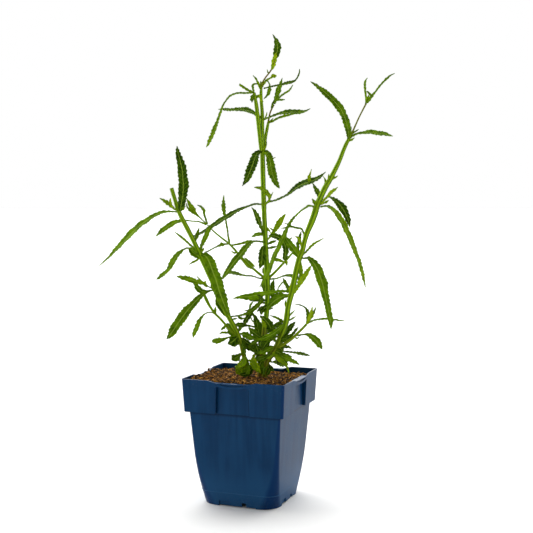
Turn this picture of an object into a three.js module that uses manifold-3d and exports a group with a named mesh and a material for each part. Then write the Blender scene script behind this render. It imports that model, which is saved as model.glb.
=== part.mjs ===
// Potted verbena: a square nursery pot, its soil, ten stems and the large leaves.
// Millimetres, +Z up. The origin is at the middle of the pot's base, on the ground.
import * as THREE from 'three';
import { mergeVertices } from 'three/addons/utils/BufferGeometryUtils.js';
import Module from 'manifold-3d';

const wasm = await Module();
wasm.setup();

// Driving dimensions of the pot
const POT_HEIGHT = 130;
const RIM_HALF = 55;
const COLLAR_HEIGHT = 33.6;
const COLLAR_BOTTOM_HALF = 53.2;
const WALL = 1.2;
const COLLAR_Z = POT_HEIGHT - COLLAR_HEIGHT;
const FLOOR_UNDERSIDE = 5;
const ARCH_HEIGHT = 1;
const ARCH_HALF_WIDTH = 20;
const NOTCH_WIDTH = 4.7;
const NOTCH_HEIGHT = 4.9;
const NOTCH_PLACE = 7.6;
const RECESS_WIDTH = 11.4;
const RECESS_HEIGHT = 5.4;
const RECESS_PLACE = -13.9;
const RECESS_FLOOR = 39.5;
const DRAIN_HOLE_RADIUS = 3;
const DRAIN_HOLE_PLACE = 20;
const FOOT_INNER_EDGE = 20;
const PANEL_TOP_HALF = 16.9;
const PANEL_BOTTOM_HALF = 17.6;
const PANEL_CORNER = 2.5;
const PANEL_TOP = 124.4;
const PANEL_SAG = 1.6;
const PANEL_DEPTH = 3;
const GROOVE_HALF = 14.5;
const GROOVE_TOP = 126.9;
const GROOVE_SAG = 2;
const GROOVE_DEPTH = 1.3;
const RIM_DIP = 2.2;
const RIM_DIP_HALF = 16.5;
const RIM_RAMP = 9;

// Driving dimensions of the soil and of the gaps between touching pieces
const GAP = 0.3;
const SOIL_LEVEL = 125;
const SOIL_SLOPE = 0.05;

// Heaps and hollows of the soil: across, back, height, spread
const SOIL_HEAPS = [[-50, 8, 4, 16], [-50, -29, 2.2, 9], [-53, -53, -4.5, 11]];

// The plant is set out on an upright sheet through the pot's axis, seen by an eye in front of it.
// The sheet is turned from the pot's own axes by SHEET_TURN.
const EYE = new THREE.Vector3(15.7, -1050, 311);
const SHEET_TURN = THREE.MathUtils.degToRad(20.3);
const LEAF_HALF_THICKNESS = 0.45;
const LEAF_FOLD = 0.22;
const STEM_SIDES = 8;
const CORNER_STEPS = 8;

// Stems, each followed upwards by [across, up, towards the eye, diameter]
const STEMS = {
  stem_middle: [[9, 121, -2, 6], [11, 140, -2, 5.6], [12.5, 160, -3, 5], [13.5, 175, -4, 4.4],
    [15.5, 190, -5, 4.2], [16.8, 210, -6, 4.4], [16.5, 230, -7, 4.6], [15.7, 245, -8, 4.4],
    [15, 260, -8, 4.2], [14.3, 275, -9, 4.3], [13.6, 290, -10, 4], [13, 305, -11, 4.1],
    [12.4, 325, -12, 4], [11.9, 345, -13, 4], [11.6, 360, -13, 3.8]],
  stem_left: [[-2, 121, 2, 5], [-4.5, 132, 3, 4.6], [-6.5, 142, 4, 4], [-8.5, 152, 5, 3.8],
    [-11, 162, 6, 3.8], [-14.5, 172, 8, 4], [-18.5, 180, 9, 4.2], [-24, 190, 10, 4],
    [-29, 200, 11, 3.8], [-38, 220, 13, 3.6], [-47, 240, 15, 3.6], [-53, 253.5, 16, 4],
    [-58.5, 266, 17, 3.8], [-66, 281, 18, 3.8], [-74.5, 298, 19, 3.6], [-78, 309, 19, 3.2],
    [-81.9, 322, 20, 3.2]],
  stem_right: [[14, 121, 7, 4.6], [14.3, 134, 7, 4.6], [16.5, 143, 6.5, 4.7], [21.5, 150, 6, 4.8],
    [27, 160, 6, 4.8],
    [32, 172, 7, 4.6], [36, 184, 8, 5], [38.2, 200, 9, 4.6], [42.5, 217, 11, 4.6],
    [44.5, 228, 12, 4.8], [47.2, 240, 13, 4.8], [49.7, 250, 14, 4.6], [52.8, 258, 14.5, 4.2],
    [54.6, 266, 15, 4], [57.5, 276, 15.5, 4.4], [61.5, 285.5, 16, 5], [65, 295, 16.5, 5.4],
    [68, 305, 16.5, 5], [72, 314, 16, 4.6], [76, 322.5, 16, 4.6], [80.5, 330, 15.5, 4.2],
    [85.7, 340, 15, 3.8], [90.7, 350.5, 14, 3.4], [94.5, 360.5, 13, 3.2], [97.8, 368, 12, 3],
    [101, 374, 11.5, 2.4], [104, 380, 11, 1.6], [110.5, 394.5, 9, 1.2], [117.3, 407.8, 7, 1.4]],
  shoot_top_left: [[10.2, 360, -11, 2.4], [9.2, 372, -9, 2.8], [8, 383, -7, 2.8], [6.6, 396, -4, 2.8],
    [5.4, 406, -2, 2.6], [4.2, 413, -1, 2.2], [3.2, 419, 0, 1.8]],
  shoot_top_middle: [[11.6, 360, -13, 2.8], [11.3, 378, -13.5, 2.8], [11.3, 392, -13, 2.7],
    [11.2, 400, -12.5, 2.4], [10.4, 410, -11.5, 2.2], [10.1, 420, -10.5, 2], [10.6, 425, -10, 1.6],
    [12.3, 430.5, -9.5, 1.1], [15, 434.7, -9, 1], [20.5, 442, -8, 1], [24.6, 452.5, -6, 1.2]],
  shoot_top_right: [[12.8, 360, -15, 2.4], [14, 370, -17, 2.4], [15.4, 378, -18.5, 2.2],
    [17, 386, -20, 2], [18, 392, -20.5, 1.2], [19.2, 398, -21, 1.1], [21, 402.5, -21, 1.1],
    [23.2, 407, -21, 1.4]],
  lateral_left: [[15, 228.5, -7, 2], [10, 232.3, -6, 1.9], [5.5, 236, -5, 1.8], [1.5, 239.6, -4, 1.8],
    [-3, 243.8, -3, 1.8], [-10.5, 251.2, -1, 1.6], [-15, 256.3, -1, 1.6], [-22.5, 264.5, -2, 1.5],
    [-30, 270.4, -3, 1.3], [-36, 275.2, -4, 1.2], [-41, 279.8, -5, 1.1], [-45, 284, -6, 1.1]],
  lateral_right: [[18, 229.5, -7, 2], [22, 233, -7, 1.9], [26, 237, -6, 1.8], [30.5, 241.8, -5, 1.8],
    [34.5, 246.2, -3, 1.8], [38, 250, -3, 1.6], [43.8, 257, -3, 1.2]],
  shoot_low_left: [[-17.5, 171, 9, 2], [-24, 177.8, 11, 1.8], [-28, 182.4, 12, 1.8], [-33, 188, 13, 1.7],
    [-37, 191.8, 13, 1.7], [-40.5, 196.3, 13, 1.8], [-43.5, 201, 13, 2], [-46, 206, 13, 2.4],
    [-48, 210.5, 13, 2.2], [-49, 214, 12, 1.6]],
  shoot_low_right: [[26, 156, 7, 2.4], [33, 160, 11, 2.4], [37.5, 163, 12, 2.3], [41.5, 166, 13, 2.2],
    [45, 169, 14, 2], [50, 174, 16, 1.9], [54, 178, 17, 1.8], [57, 181.3, 18, 1.8]],
};

// Leaves: how far the face is turned up from the eye in degrees, then, from the stalk to the tip,
// [across, up, towards the eye, width as seen]
const LEAVES = {
  leaf_tip: [0, [[24.9, 453.5, -6, 2], [25.6, 457, -5, 6], [26.5, 461, -4, 7], [26.9, 465, -3, 7.4],
    [26.2, 469, -1, 5.6], [25, 472.5, 0, 3], [23.4, 475.5, 1, 1.5], [22, 477.8, 2, 0.3]]],
  leaf_tip_dark: [40, [[12.8, 423.3, -8, 1.2], [20, 425.1, -5, 1.3], [28, 426.7, -2, 1.6],
    [33, 427.9, 0, 2.2], [38, 429, 2, 2.8], [43, 430.3, 4, 2.2], [45.5, 432, 5, 1.3],
    [47.5, 435, 5, 1.3], [49, 439, 4, 1.2], [49.3, 443, 3, 0.3]]],
  leaf_tip_arching: [35, [[2.8, 419, 0, 1.6], [-6, 418.7, 6, 1.6], [-13, 418.7, 10, 1.6],
    [-18, 417.5, 13, 1.6], [-22, 415.3, 16, 1.5], [-25, 412, 18, 1.4], [-28, 407.5, 21, 1.5],
    [-30, 403, 23, 1.8], [-34.5, 390, 26, 2.6], [-37.2, 383, 27, 3.6], [-40, 376, 28, 3.8],
    [-43, 369, 28, 3], [-46, 363.5, 28, 0.3]]],
  leaf_fork_broad: [10, [[23.6, 407.5, -21, 2.2], [25, 412.5, -20, 3.2], [26.5, 417.5, -18, 4.8],
    [28.2, 422.5, -16, 5], [30, 428, -13, 3], [31.8, 434, -11, 0.3]]],
  leaf_fork_left: [50, [[11, 393, -11.5, 1.8], [5, 397, -8, 3], [0, 399.8, -4, 4.2], [-5, 401.3, 0, 4.8],
    [-10, 402, 4, 3.8], [-18, 401.7, 8, 2.6], [-26, 402, 12, 2.4], [-33.5, 402.3, 15, 0.3]]],
  leaf_fork_right: [50, [[12.4, 391.5, -13, 1.4], [17, 393.5, -15, 1.6], [22, 395.5, -16, 1.8],
    [27, 397.2, -18, 2], [32, 398.7, -20, 3.4], [38, 399.2, -21, 4.2], [44, 399.5, -22, 4.4],
    [50, 399.4, -23, 4], [55, 400.3, -24, 2], [60.5, 403, -25, 0.3]]],
  leaf_high_left: [10, [[10.6, 359.3, -12, 2], [7.5, 358.6, -9, 4], [5, 355.8, -5, 6.5], [3, 351, -2, 8.6],
    [1.3, 345.5, 1, 8.6], [-0.8, 340, 3, 8.6], [-3, 335, 4, 7.6], [-5, 330.5, 5, 5.4], [-7, 327, 5, 2.6],
    [-9.2, 324, 5, 0.3]]],
  leaf_high_right: [20, [[13, 359.3, -13, 2], [16, 358.6, -13, 4], [18, 355.5, -12, 5.5], [19, 351, -10, 7],
    [19.8, 346, -8, 8.4], [20.8, 340.5, -6, 8.2], [22.2, 335, -4, 7.6], [24, 330, -2, 6.4],
    [26.3, 325.5, 0, 4.4], [29.2, 321.7, 1, 0.4]]],
  leaf_wide_left: [50, [[12, 305.1, -11, 1.6], [7, 305.6, -11, 1.6], [3, 305.4, -10, 1.6],
    [-1, 304.2, -8, 1.5], [-6, 302.3, -6, 2], [-12, 299.8, -4, 3.2], [-18, 296.7, -2, 4],
    [-24, 293, 0, 4.8], [-30, 289.4, 1, 4.6], [-36, 285.7, 2, 4.6], [-42, 281.6, 2, 3.6],
    [-48, 278, 2, 2.6], [-53, 275, 1, 2], [-56.5, 273.3, 0, 0.3]]],
  leaf_wide_right: [50, [[14, 305, -11, 1.6], [17, 307.3, -12, 1.6], [25, 309.5, -16, 1.6],
    [30, 311.5, -19, 1.8], [36, 314.6, -22, 2], [41, 318, -24, 3], [46, 322.2, -27, 5.2],
    [51, 325.2, -29, 5.6], [57, 327.6, -31, 6], [63, 329.5, -32, 5.6], [68, 332, -33, 4],
    [72, 334.6, -34, 2.2], [76.4, 338.6, -34, 0.3]]],
  leaf_middle_upright: [0, [[12.6, 275, -7.5, 2], [10.3, 281, -6, 2.6], [9, 285, -4, 4], [7.3, 289.5, -2, 5.8],
    [5.5, 294, 0, 4.8], [3.3, 298.5, 2, 3], [0.4, 302.2, 3, 0.3]]],
  leaf_middle_bright: [15, [[16, 268.5, -9.5, 1.6], [19.5, 272, -14, 2], [24.5, 279, -20, 4.4],
    [27.5, 284, -23, 5.6], [30.3, 288.5, -25, 5.4], [33, 292.5, -27, 3.6], [35.4, 295.6, -28, 0.3]]],
  leaf_side_dark: [20, [[34.9, 248, -1, 3], [34.8, 251, 0, 4.6], [35.6, 256, 1, 5.6], [35, 262, 2, 6.5],
    [32.5, 267.5, 3, 6.8], [28, 271.5, 3, 6], [23, 273, 1, 5], [17.6, 273.2, -1, 0.4]]],
  leaf_middle_hanging: [0, [[13.6, 262.5, -5.5, 2.5], [11.8, 258.5, -3, 5.5], [11.2, 253.5, 0, 7.4],
    [11, 248, 1, 7.6], [10.2, 243.5, 2, 5], [8.3, 239, 2, 0.4]]],
  leaf_middle_long: [35, [[13.4, 266.3, -7, 1.6], [8, 267.2, -4, 1.6], [3, 267.3, 0, 1.8],
    [-0.5, 266, 4, 2.8], [-4, 262.5, 7, 5], [-8.5, 257, 10, 6.2], [-13, 251.5, 12, 6.4],
    [-17.5, 246, 14, 6.2], [-21.5, 240.5, 16, 5.6], [-25, 235.5, 18, 4.6], [-28, 231, 20, 3],
    [-29.6, 228, 21, 0.3]]],
  leaf_low_left: [50, [[14, 228.8, -7, 1.8], [8, 229.2, -6, 1.4], [4, 230.6, -5, 1.3], [0, 231.6, -4, 1.4],
    [-5, 231.7, -3, 1.5], [-10, 232.6, -1, 2.2], [-15, 234, 0, 3.4], [-20, 234.8, 1, 4],
    [-24, 234.6, 2, 3], [-27.5, 234, 2, 0.3]]],
  leaf_low_right: [50, [[18.6, 228.3, -8, 2], [24, 228.5, -10, 1.3], [28, 229.6, -13, 1.2],
    [32, 231.1, -15, 1.3], [36, 231.9, -17, 2], [40, 231.6, -19, 3.6], [44, 230.6, -20, 4],
    [48, 229, -20, 3], [51, 227.5, -20, 0.3]]],
  leaf_side_upright: [25, [[-22.6, 265.6, -3, 2], [-23.8, 273, -6, 1.7], [-24.3, 278, -8, 1.6],
    [-25.3, 284, -10, 1.6], [-26.4, 290, -11, 2], [-27.5, 296, -12, 3.2], [-28.4, 301.5, -12, 3.8],
    [-28.6, 307, -11, 3], [-28, 314.8, -10, 0.3]]],
  leaf_side_short: [30, [[-23.6, 264.5, -1, 1.2], [-27, 264.4, 0, 1.8], [-30, 264, 1, 3.6],
    [-33, 262.8, 2, 2.2], [-37, 261.2, 3, 1.2], [-41, 259, 3, 1.2], [-45, 256.9, 3, 1.2],
    [-49, 256, 3, 0.3]]],
  leaf_side_end: [10, [[-46, 285.2, -6, 1.2], [-50, 289, -7, 1.2], [-54, 293, -8, 1.4],
    [-57, 296.2, -9, 2.6], [-60, 300, -10, 5], [-62.5, 304, -11, 4.4], [-64.3, 307.5, -11, 3.2],
    [-66.2, 311.3, -11, 0.4]]],
  leaf_side_far: [35, [[-46.3, 284.2, -7, 1.4], [-49, 285.8, -9, 1.6], [-54, 287.6, -11, 1.2],
    [-60, 288, -13, 1.1], [-66, 288.7, -15, 1.4], [-72, 288.2, -17, 2.8], [-77, 287.2, -18, 4.2],
    [-82, 284.9, -18, 5], [-87, 281.8, -18, 5.2], [-91.5, 278.3, -17, 4.8], [-95, 275.3, -16, 2.8],
    [-98.3, 272.3, -15, 0.3]]],
  leaf_left_upright: [10, [[-73, 298.5, 22, 3], [-72.3, 304, 22.5, 6.5], [-71.3, 309, 23, 7.6],
    [-70.2, 316, 23, 8.8], [-69.6, 323, 22, 10], [-70, 331, 21, 9.4], [-70.6, 339, 19, 9],
    [-72.2, 347, 17, 7.6], [-74.2, 355, 15, 5.4], [-75.4, 360, 13, 3.6], [-76, 365, 12, 0.4]]],
  leaf_left_arching: [50, [[-76, 297.5, 19, 1.3], [-81, 297.8, 19, 1.4], [-86, 298, 18.5, 2],
    [-92, 297, 18, 2.8], [-98, 294.6, 17.5, 3.6], [-104, 291, 17, 4.2], [-110, 287, 16, 4.8],
    [-116, 282.5, 15, 5.2], [-121, 278, 14, 5.6], [-126, 273, 13, 5.4], [-131, 267.8, 12, 4.8],
    [-137, 261.5, 11, 4], [-143, 255, 10, 2.8], [-148, 250, 9, 1.6], [-152, 246.3, 8, 1.2],
    [-157, 242, 7, 0.3]]],
  leaf_left_broad: [5, [[-51.5, 254, 18.5, 2], [-46.5, 251.5, 21, 8.5], [-43.5, 246, 21.5, 10.5],
    [-40.5, 238, 20.5, 11.5], [-37, 228.5, 19.5, 12], [-34, 219, 18.5, 11.8], [-31, 210, 17.5, 10.4],
    [-28, 202, 16.5, 8], [-25, 195.5, 15.5, 5], [-21.5, 189.5, 15, 0.5]]],
  leaf_left_drooping: [35, [[-54.4, 254.5, 18, 4.5], [-58.5, 257, 21, 4.5], [-62, 259.6, 23, 2.4],
    [-66, 260.2, 25, 1.4], [-70, 258.7, 27, 1.8], [-74, 255.6, 28, 3.8], [-78, 251, 29, 5],
    [-81, 246, 30, 5.4], [-83.8, 241, 30, 4.4], [-87, 236.8, 30, 3.4], [-91, 233, 29, 3.8],
    [-95, 230, 28, 2.6], [-98.3, 227.8, 27, 0.3]]],
  leaf_left_inner: [0, [[-53.4, 257.5, 16.5, 2], [-50.5, 264, 15, 3.4], [-48.7, 268.5, 14, 4.4],
    [-46.5, 273.5, 13, 4.8], [-44, 278.5, 12, 4.4], [-41.8, 282.3, 11, 3.4], [-39.3, 286.3, 10, 0.4]]],
  leaf_left_low: [20, [[-39.5, 216.8, 15, 1.4], [-44.5, 215.8, 19, 2], [-48.5, 213.6, 21, 3.4],
    [-53, 209.8, 23, 5], [-57.5, 205.3, 26, 6], [-62.5, 199.8, 28, 7.4], [-67.5, 194, 30, 8.8],
    [-72, 188, 31, 9.4], [-76, 182.3, 32, 9], [-79.5, 177, 32, 8.4], [-82.5, 172.5, 32, 7],
    [-85, 169, 31, 4.6], [-88, 165.8, 30, 0.4]]],
  leaf_left_pointing: [15, [[-38.6, 217.6, 13.5, 1.2], [-43.5, 220.2, 14, 1.2], [-47, 222.2, 15, 1.6],
    [-52, 224.3, 16, 3.4], [-57.5, 226, 17, 4.6], [-63, 227.7, 18, 5.6], [-68, 229, 18, 5],
    [-72.5, 230, 18, 3.4], [-77.4, 231.3, 17, 0.3]]],
  leaf_low_left_drooping: [25, [[-37.6, 192, 14, 1.1], [-41, 193.7, 16, 1], [-45, 193.6, 18, 1],
    [-48.5, 191.8, 20, 1.3], [-51.5, 188.6, 22, 2.4], [-54, 184.5, 23, 3.8], [-56, 179.5, 24, 4.4],
    [-58, 174.5, 24, 4.4], [-59.7, 170.5, 24, 3], [-60.2, 167.3, 24, 0.3]]],
  leaf_right_tip: [30, [[118, 408.8, 7, 2], [120.5, 411.5, 7, 2.6], [123.5, 416, 6, 2.4],
    [127, 420.3, 4, 1.6], [130.5, 425, 2, 1.8], [134, 429, 0, 1.6], [138, 433, -2, 2],
    [142, 436.5, -4, 1.4], [146.5, 438.6, -6, 0.3]]],
  leaf_right_curved: [15, [[99.7, 371.5, 13, 2], [99.5, 377, 14, 4.4], [98.8, 383, 16, 6],
    [97, 390, 18, 6.4], [94.3, 397, 20, 6.8], [90.5, 403.5, 21, 7], [86, 409, 22, 6.8],
    [81, 414, 22, 6.5], [75.5, 419, 21, 5.6], [70, 423.5, 20, 4], [65.5, 427, 19, 2.6],
    [60.5, 430.3, 18, 0.3]]],
  leaf_right_flat: [50, [[101, 373.5, 11.5, 2], [105, 376, 12.5, 2], [109, 377.6, 13, 1.8],
    [114, 378.3, 14, 2.4], [119, 378.8, 15, 3.6], [124, 378.8, 16, 4.1], [130, 378, 17, 4.2],
    [136, 377, 17, 3.6], [141, 376, 17, 2.2], [145, 375, 17, 0.3]]],
  leaf_right_crossing: [-45, [[66, 302, 16.5, 2], [62.5, 303.4, 17, 1.6], [59, 304, 17, 1.8],
    [56, 302, 16, 1.6], [50, 297.6, 15, 1.5], [45, 293, 14, 1.8], [40.5, 287.5, 13.5, 2.6],
    [37, 281.3, 13, 3.2], [33.5, 273.5, 13, 4.4], [30.2, 266.5, 12.5, 4.4], [27, 259.5, 12, 4.4],
    [24, 253, 11, 4.2], [21.3, 246.5, 10, 4.2], [18.5, 239, 8.5, 4.2], [15.2, 231, 7, 3.4],
    [12, 225, 6, 2], [8.4, 219.4, 5, 0.3]]],
  leaf_right_long: [40, [[71, 302.8, 17, 1.5], [76.5, 303.7, 19, 1.6], [80.5, 302.6, 21, 2.6],
    [84.5, 299.5, 23, 3.8], [88.5, 295.3, 25, 4.8], [92.3, 289.5, 27, 5.4], [95.8, 283, 29, 5.4],
    [99.5, 275.5, 30, 5.2], [102.6, 268, 31, 4.9], [105.8, 260, 32, 4.4], [109, 252, 32, 3.6],
    [111.8, 244.5, 32, 3.5], [114, 237, 32, 3.4], [115.5, 230.5, 31, 2.6], [116.8, 225, 31, 1.6],
    [118.2, 219.4, 30, 0.3]]],
  leaf_right_dark: [20, [[73, 309.5, 14.5, 1.2], [77, 312, 12, 1], [80.5, 312.8, 10, 1.2],
    [84, 311, 9, 3.2], [88, 308, 8, 5.4], [92, 303.7, 8, 7.2], [95.3, 298.8, 8, 7.6],
    [98, 293.5, 8, 6.6], [100, 288, 8, 4.6], [101.5, 282, 8, 0.4]]],
  leaf_right_bright: [15, [[71.5, 305, 18, 1.4], [75, 309.7, 20, 2], [78.5, 313.7, 22, 2.4],
    [82, 317.5, 24, 3.4], [85.3, 320, 26, 2.6], [88.9, 323, 27, 0.4]]],
  leaf_right_folded: [0, [[48.6, 252, 14.5, 3.6], [46, 255.8, 14, 6.5], [43, 260.3, 12, 7],
    [39.8, 264.5, 10, 6.6], [37, 268.5, 8, 5], [35.2, 272.5, 6.5, 0.5]]],
  leaf_right_broad: [20, [[51, 249.9, 15, 1.8], [55, 249.8, 17, 1.6], [58.5, 250.2, 19, 3],
    [62, 247.8, 21, 5.4], [66, 242.5, 23, 7.6], [69.3, 236, 25, 9.2], [71.8, 229, 26, 9.6],
    [74.2, 221, 26, 9.2], [76.2, 212.5, 26, 7.4], [78, 204, 25, 6.2], [79.8, 196, 24, 6.2],
    [81.5, 188, 23, 5.2], [82.3, 182, 22, 4], [82.7, 176, 21, 0.4]]],
  leaf_right_small: [10, [[44, 213.5, 13, 2], [47.5, 219.5, 16, 3.4], [50.8, 225, 18, 5], [54, 230, 19, 5],
    [57, 234.5, 20, 4.4], [59.8, 239, 20, 2.8], [62.3, 243, 20, 0.3]]],
  leaf_right_pale: [-35, [[41, 215.2, 10.5, 2.6], [34, 215.8, 8, 2.6], [28, 215.6, 6, 2.8],
    [22, 214.8, 4, 3.2], [15, 213.6, 2, 4.4], [8, 212.2, 2, 6], [2, 210.9, 2, 7.5], [-4, 210, 3, 6.4],
    [-10, 209.8, 4, 3.8], [-15, 209, 5, 2], [-19, 207.9, 5, 0.3]]],
  leaf_base_reaching: [15, [[-22, 189.3, 9.5, 1.4], [-12, 190.5, 8, 1.6], [-5, 192.5, 6, 3],
    [1, 196, 4, 4.5], [6, 200.5, 2, 4.5], [10, 205, 1, 3], [12.5, 208.5, 1, 0.4]]],
  leaf_base_face: [0, [[21.5, 173.5, -1, 5], [19.8, 178, 1, 8], [17.3, 182.3, 3, 8], [14, 186, 5, 6.5],
    [11, 188.6, 6, 3.5], [8.6, 190.3, 6, 0.4]]],
  leaf_base_diagonal: [-20, [[34.8, 182.3, 11, 2.6], [30, 177.3, 14, 7], [25.5, 173.5, 15, 9],
    [20.5, 170.3, 15, 9.4], [15, 167.5, 14, 8], [10, 165.8, 13, 4.5], [4.5, 165, 12, 0.4]]],
  leaf_base_round: [15, [[-14.5, 170.5, 9, 1.6], [-25.5, 167, 14, 1.8], [-30, 165.3, 17, 3.6],
    [-35, 164, 19, 5.6], [-38.5, 163.9, 20, 5.2], [-41, 164.3, 20, 1.5]]],
  leaf_base_yellow: [10, [[-7.3, 148, 6.5, 2.4], [-8, 144, 10, 6], [-9.5, 140.5, 13, 7], [-12.5, 138, 16, 5],
    [-16.5, 136.5, 18, 0.6]]],
  leaf_base_low_right: [15, [[24.5, 151.8, 7, 2.6], [31, 148.5, 12, 5], [35, 146.3, 16, 6],
    [40, 144.3, 19, 5.6], [45, 142, 21, 4.4], [50, 139, 23, 0.5]]],
  leaf_low_right_hanging: [15, [[45.6, 169.6, 14, 1.4], [50, 170, 16, 1.8], [54, 170.6, 18, 1.3],
    [57.5, 170.8, 20, 2.4], [61, 169.6, 22, 5], [64.5, 167, 23, 6.6], [67.7, 163.6, 24, 7],
    [70.7, 159.6, 25, 5.4], [73.6, 155.4, 26, 0.5]]],
  leaf_low_right_hooked: [10, [[57.3, 182.4, 17.5, 1.8], [58.3, 187.5, 17, 2.6], [58.6, 192, 16, 3.4],
    [57.6, 196, 15, 2.6], [55, 199.2, 14, 1.4], [50.5, 201.4, 13, 1.2], [45, 202.1, 13, 0.3]]],
};

// Finishes
const finish = (color, roughness) => new THREE.MeshStandardMaterial({ color, roughness, metalness: 0 });
const POT_FINISH = finish(0x1d2f52, 0.35);
const SOIL_FINISH = finish(0x4a3222, 0.95);
const STEM_FINISH = finish(0x6f8f24, 0.6);
const LEAF_FINISH = finish(0x3f6b1c, 0.6);

// A closed skin over rings of equal count, with flat ends or a last single point
function skin(rings, tip) {
  const count = rings[0].length;
  const points = rings.flat();
  const faces = [];
  for (let row = 0; row + 1 < rings.length; row++) {
    for (let i = 0; i < count; i++) {
      const a = row * count + i;
      const b = row * count + (i + 1) % count;
      faces.push([a, b, b + count], [a, b + count, a + count]);
    }
  }
  const last = (rings.length - 1) * count;
  for (let i = 1; i + 1 < count; i++) {
    faces.push([0, i + 1, i]);
    if (!tip) faces.push([last, last + i, last + i + 1]);
  }
  if (tip) {
    points.push(tip);
    for (let i = 0; i < count; i++) faces.push([last + i, last + (i + 1) % count, points.length - 1]);
  }
  const volume = faces.reduce((sum, [a, b, c]) =>
    sum + points[a].dot(new THREE.Vector3().crossVectors(points[b], points[c])), 0);
  const outward = volume > 0 ? faces : faces.map(([a, b, c]) => [a, c, b]);
  const geometry = new THREE.BufferGeometry();
  geometry.setAttribute('position', new THREE.Float32BufferAttribute(points.flatMap((p) => p.toArray()), 3));
  geometry.setIndex(outward.flat());
  return geometry;
}

function toSolid(geometry) {
  const bare = geometry.clone();
  bare.deleteAttribute('normal');
  bare.deleteAttribute('uv');
  const merged = mergeVertices(bare);
  const mesh = new wasm.Mesh({
    numProp: 3,
    vertProperties: new Float32Array(merged.attributes.position.array),
    triVerts: new Uint32Array(merged.index.array),
  });
  return new wasm.Manifold(mesh);
}

function toGeometry(solid) {
  const mesh = solid.getMesh();
  const geometry = new THREE.BufferGeometry();
  geometry.setAttribute('position', new THREE.BufferAttribute(new Float32Array(mesh.vertProperties), 3));
  geometry.setIndex(new THREE.BufferAttribute(new Uint32Array(mesh.triVerts), 1));
  return geometry;
}

// The largest of the bodies that a cut leaves
function largest(solid) {
  const bodies = solid.decompose();
  return bodies.reduce((best, body) => (body.volume() > best.volume() ? body : best));
}

const boxSolid = (width, depth, height, x, y, z) =>
  toSolid(new THREE.BoxGeometry(width, depth, height).translate(x, y, z));

// A shape drawn in the x and z plane, pushed through the front wall between two depths, for one side
function throughWall(shape, near, far, side) {
  const geometry = new THREE.ExtrudeGeometry(shape, { depth: near - far, bevelEnabled: false, curveSegments: 10 });
  geometry.rotateX(Math.PI / 2);
  geometry.translate(0, -far, 0);
  geometry.rotateZ(side * Math.PI / 2);
  return toSolid(geometry);
}

// One level of the pot: a square with rounded corners
function squareRing(half, radius, z) {
  const ring = [];
  for (let corner = 0; corner < 4; corner++) {
    const turn = corner * Math.PI / 2;
    for (let step = 0; step <= CORNER_STEPS; step++) {
      const angle = turn + (step / CORNER_STEPS) * Math.PI / 2;
      const middle = new THREE.Vector2(half - radius, half - radius).rotateAround(new THREE.Vector2(), turn);
      ring.push(new THREE.Vector3(middle.x + radius * Math.cos(angle), middle.y + radius * Math.sin(angle), z));
    }
  }
  return ring;
}

// Outside of the body below the collar, with a fine bead above its foot: height, half width, corner radius
const BODY_LEVELS = [[0, 40.5, 18.5], [6, 41.3, 16.5], [13.8, 42.2, 13.7], [14.1, 42.5, 13.6],
  [14.6, 42.3, 13.4], [18, 42.7, 12.2], [24, 43.4, 10.2], [32, 44.2, 8.2], [41, 45, 6.4], [51, 45.8, 4.9], [70, 47, 3.5], [COLLAR_Z, 48.9, 2.2]];
const COLLAR_LEVELS = [[COLLAR_Z, COLLAR_BOTTOM_HALF, 3], [POT_HEIGHT, RIM_HALF, 3]];

function potShell() {
  const outside = BODY_LEVELS.map(([z, half, radius]) => squareRing(half, radius, z));
  const collar = COLLAR_LEVELS.map(([z, half, radius]) => squareRing(half, radius, z));
  const mouth = [squareRing(RIM_HALF - WALL, 2, POT_HEIGHT),
    squareRing(COLLAR_BOTTOM_HALF - WALL, 2, COLLAR_Z + WALL)];
  const inside = BODY_LEVELS.slice(2).reverse().map(([z, half, radius]) =>
    squareRing(half - WALL, Math.max(radius - WALL, 1), z === COLLAR_Z ? COLLAR_Z + WALL : z));
  const floor = [squareRing(40.1, 16.4, FLOOR_UNDERSIDE + WALL)];
  const underside = [squareRing(39.7, 17.4, FLOOR_UNDERSIDE), squareRing(39.3, 17.3, 0)];
  return toSolid(skin([...underside, ...outside, ...collar, ...mouth, ...inside, ...floor]));
}

// The sunk panel of a collar face, closed above by a curved ledge, with rounded collar corners below
function panelShape() {
  const shape = new THREE.Shape();
  const foot = PANEL_BOTTOM_HALF + PANEL_CORNER;
  shape.moveTo(-foot, COLLAR_Z);
  shape.lineTo(-foot, COLLAR_Z - 1);
  shape.lineTo(foot, COLLAR_Z - 1);
  shape.lineTo(foot, COLLAR_Z);
  shape.quadraticCurveTo(PANEL_BOTTOM_HALF, COLLAR_Z, PANEL_BOTTOM_HALF, COLLAR_Z + PANEL_CORNER);
  shape.lineTo(PANEL_TOP_HALF, PANEL_TOP);
  shape.quadraticCurveTo(0, PANEL_TOP - 2 * PANEL_SAG, -PANEL_TOP_HALF, PANEL_TOP);
  shape.lineTo(-PANEL_BOTTOM_HALF, COLLAR_Z + PANEL_CORNER);
  shape.quadraticCurveTo(-PANEL_BOTTOM_HALF, COLLAR_Z, -foot, COLLAR_Z);
  return shape;
}

// The thick part of the collar around a panel, up to the rim
function backingShape(grow) {
  const shape = new THREE.Shape();
  const foot = PANEL_BOTTOM_HALF + PANEL_CORNER + grow;
  shape.moveTo(-foot, COLLAR_Z - 1);
  shape.lineTo(foot, COLLAR_Z - 1);
  shape.lineTo(PANEL_TOP_HALF + grow, PANEL_TOP);
  shape.lineTo(PANEL_TOP_HALF + grow, POT_HEIGHT + 1);
  shape.lineTo(-PANEL_TOP_HALF - grow, POT_HEIGHT + 1);
  shape.lineTo(-PANEL_TOP_HALF - grow, PANEL_TOP);
  return shape;
}

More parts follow.
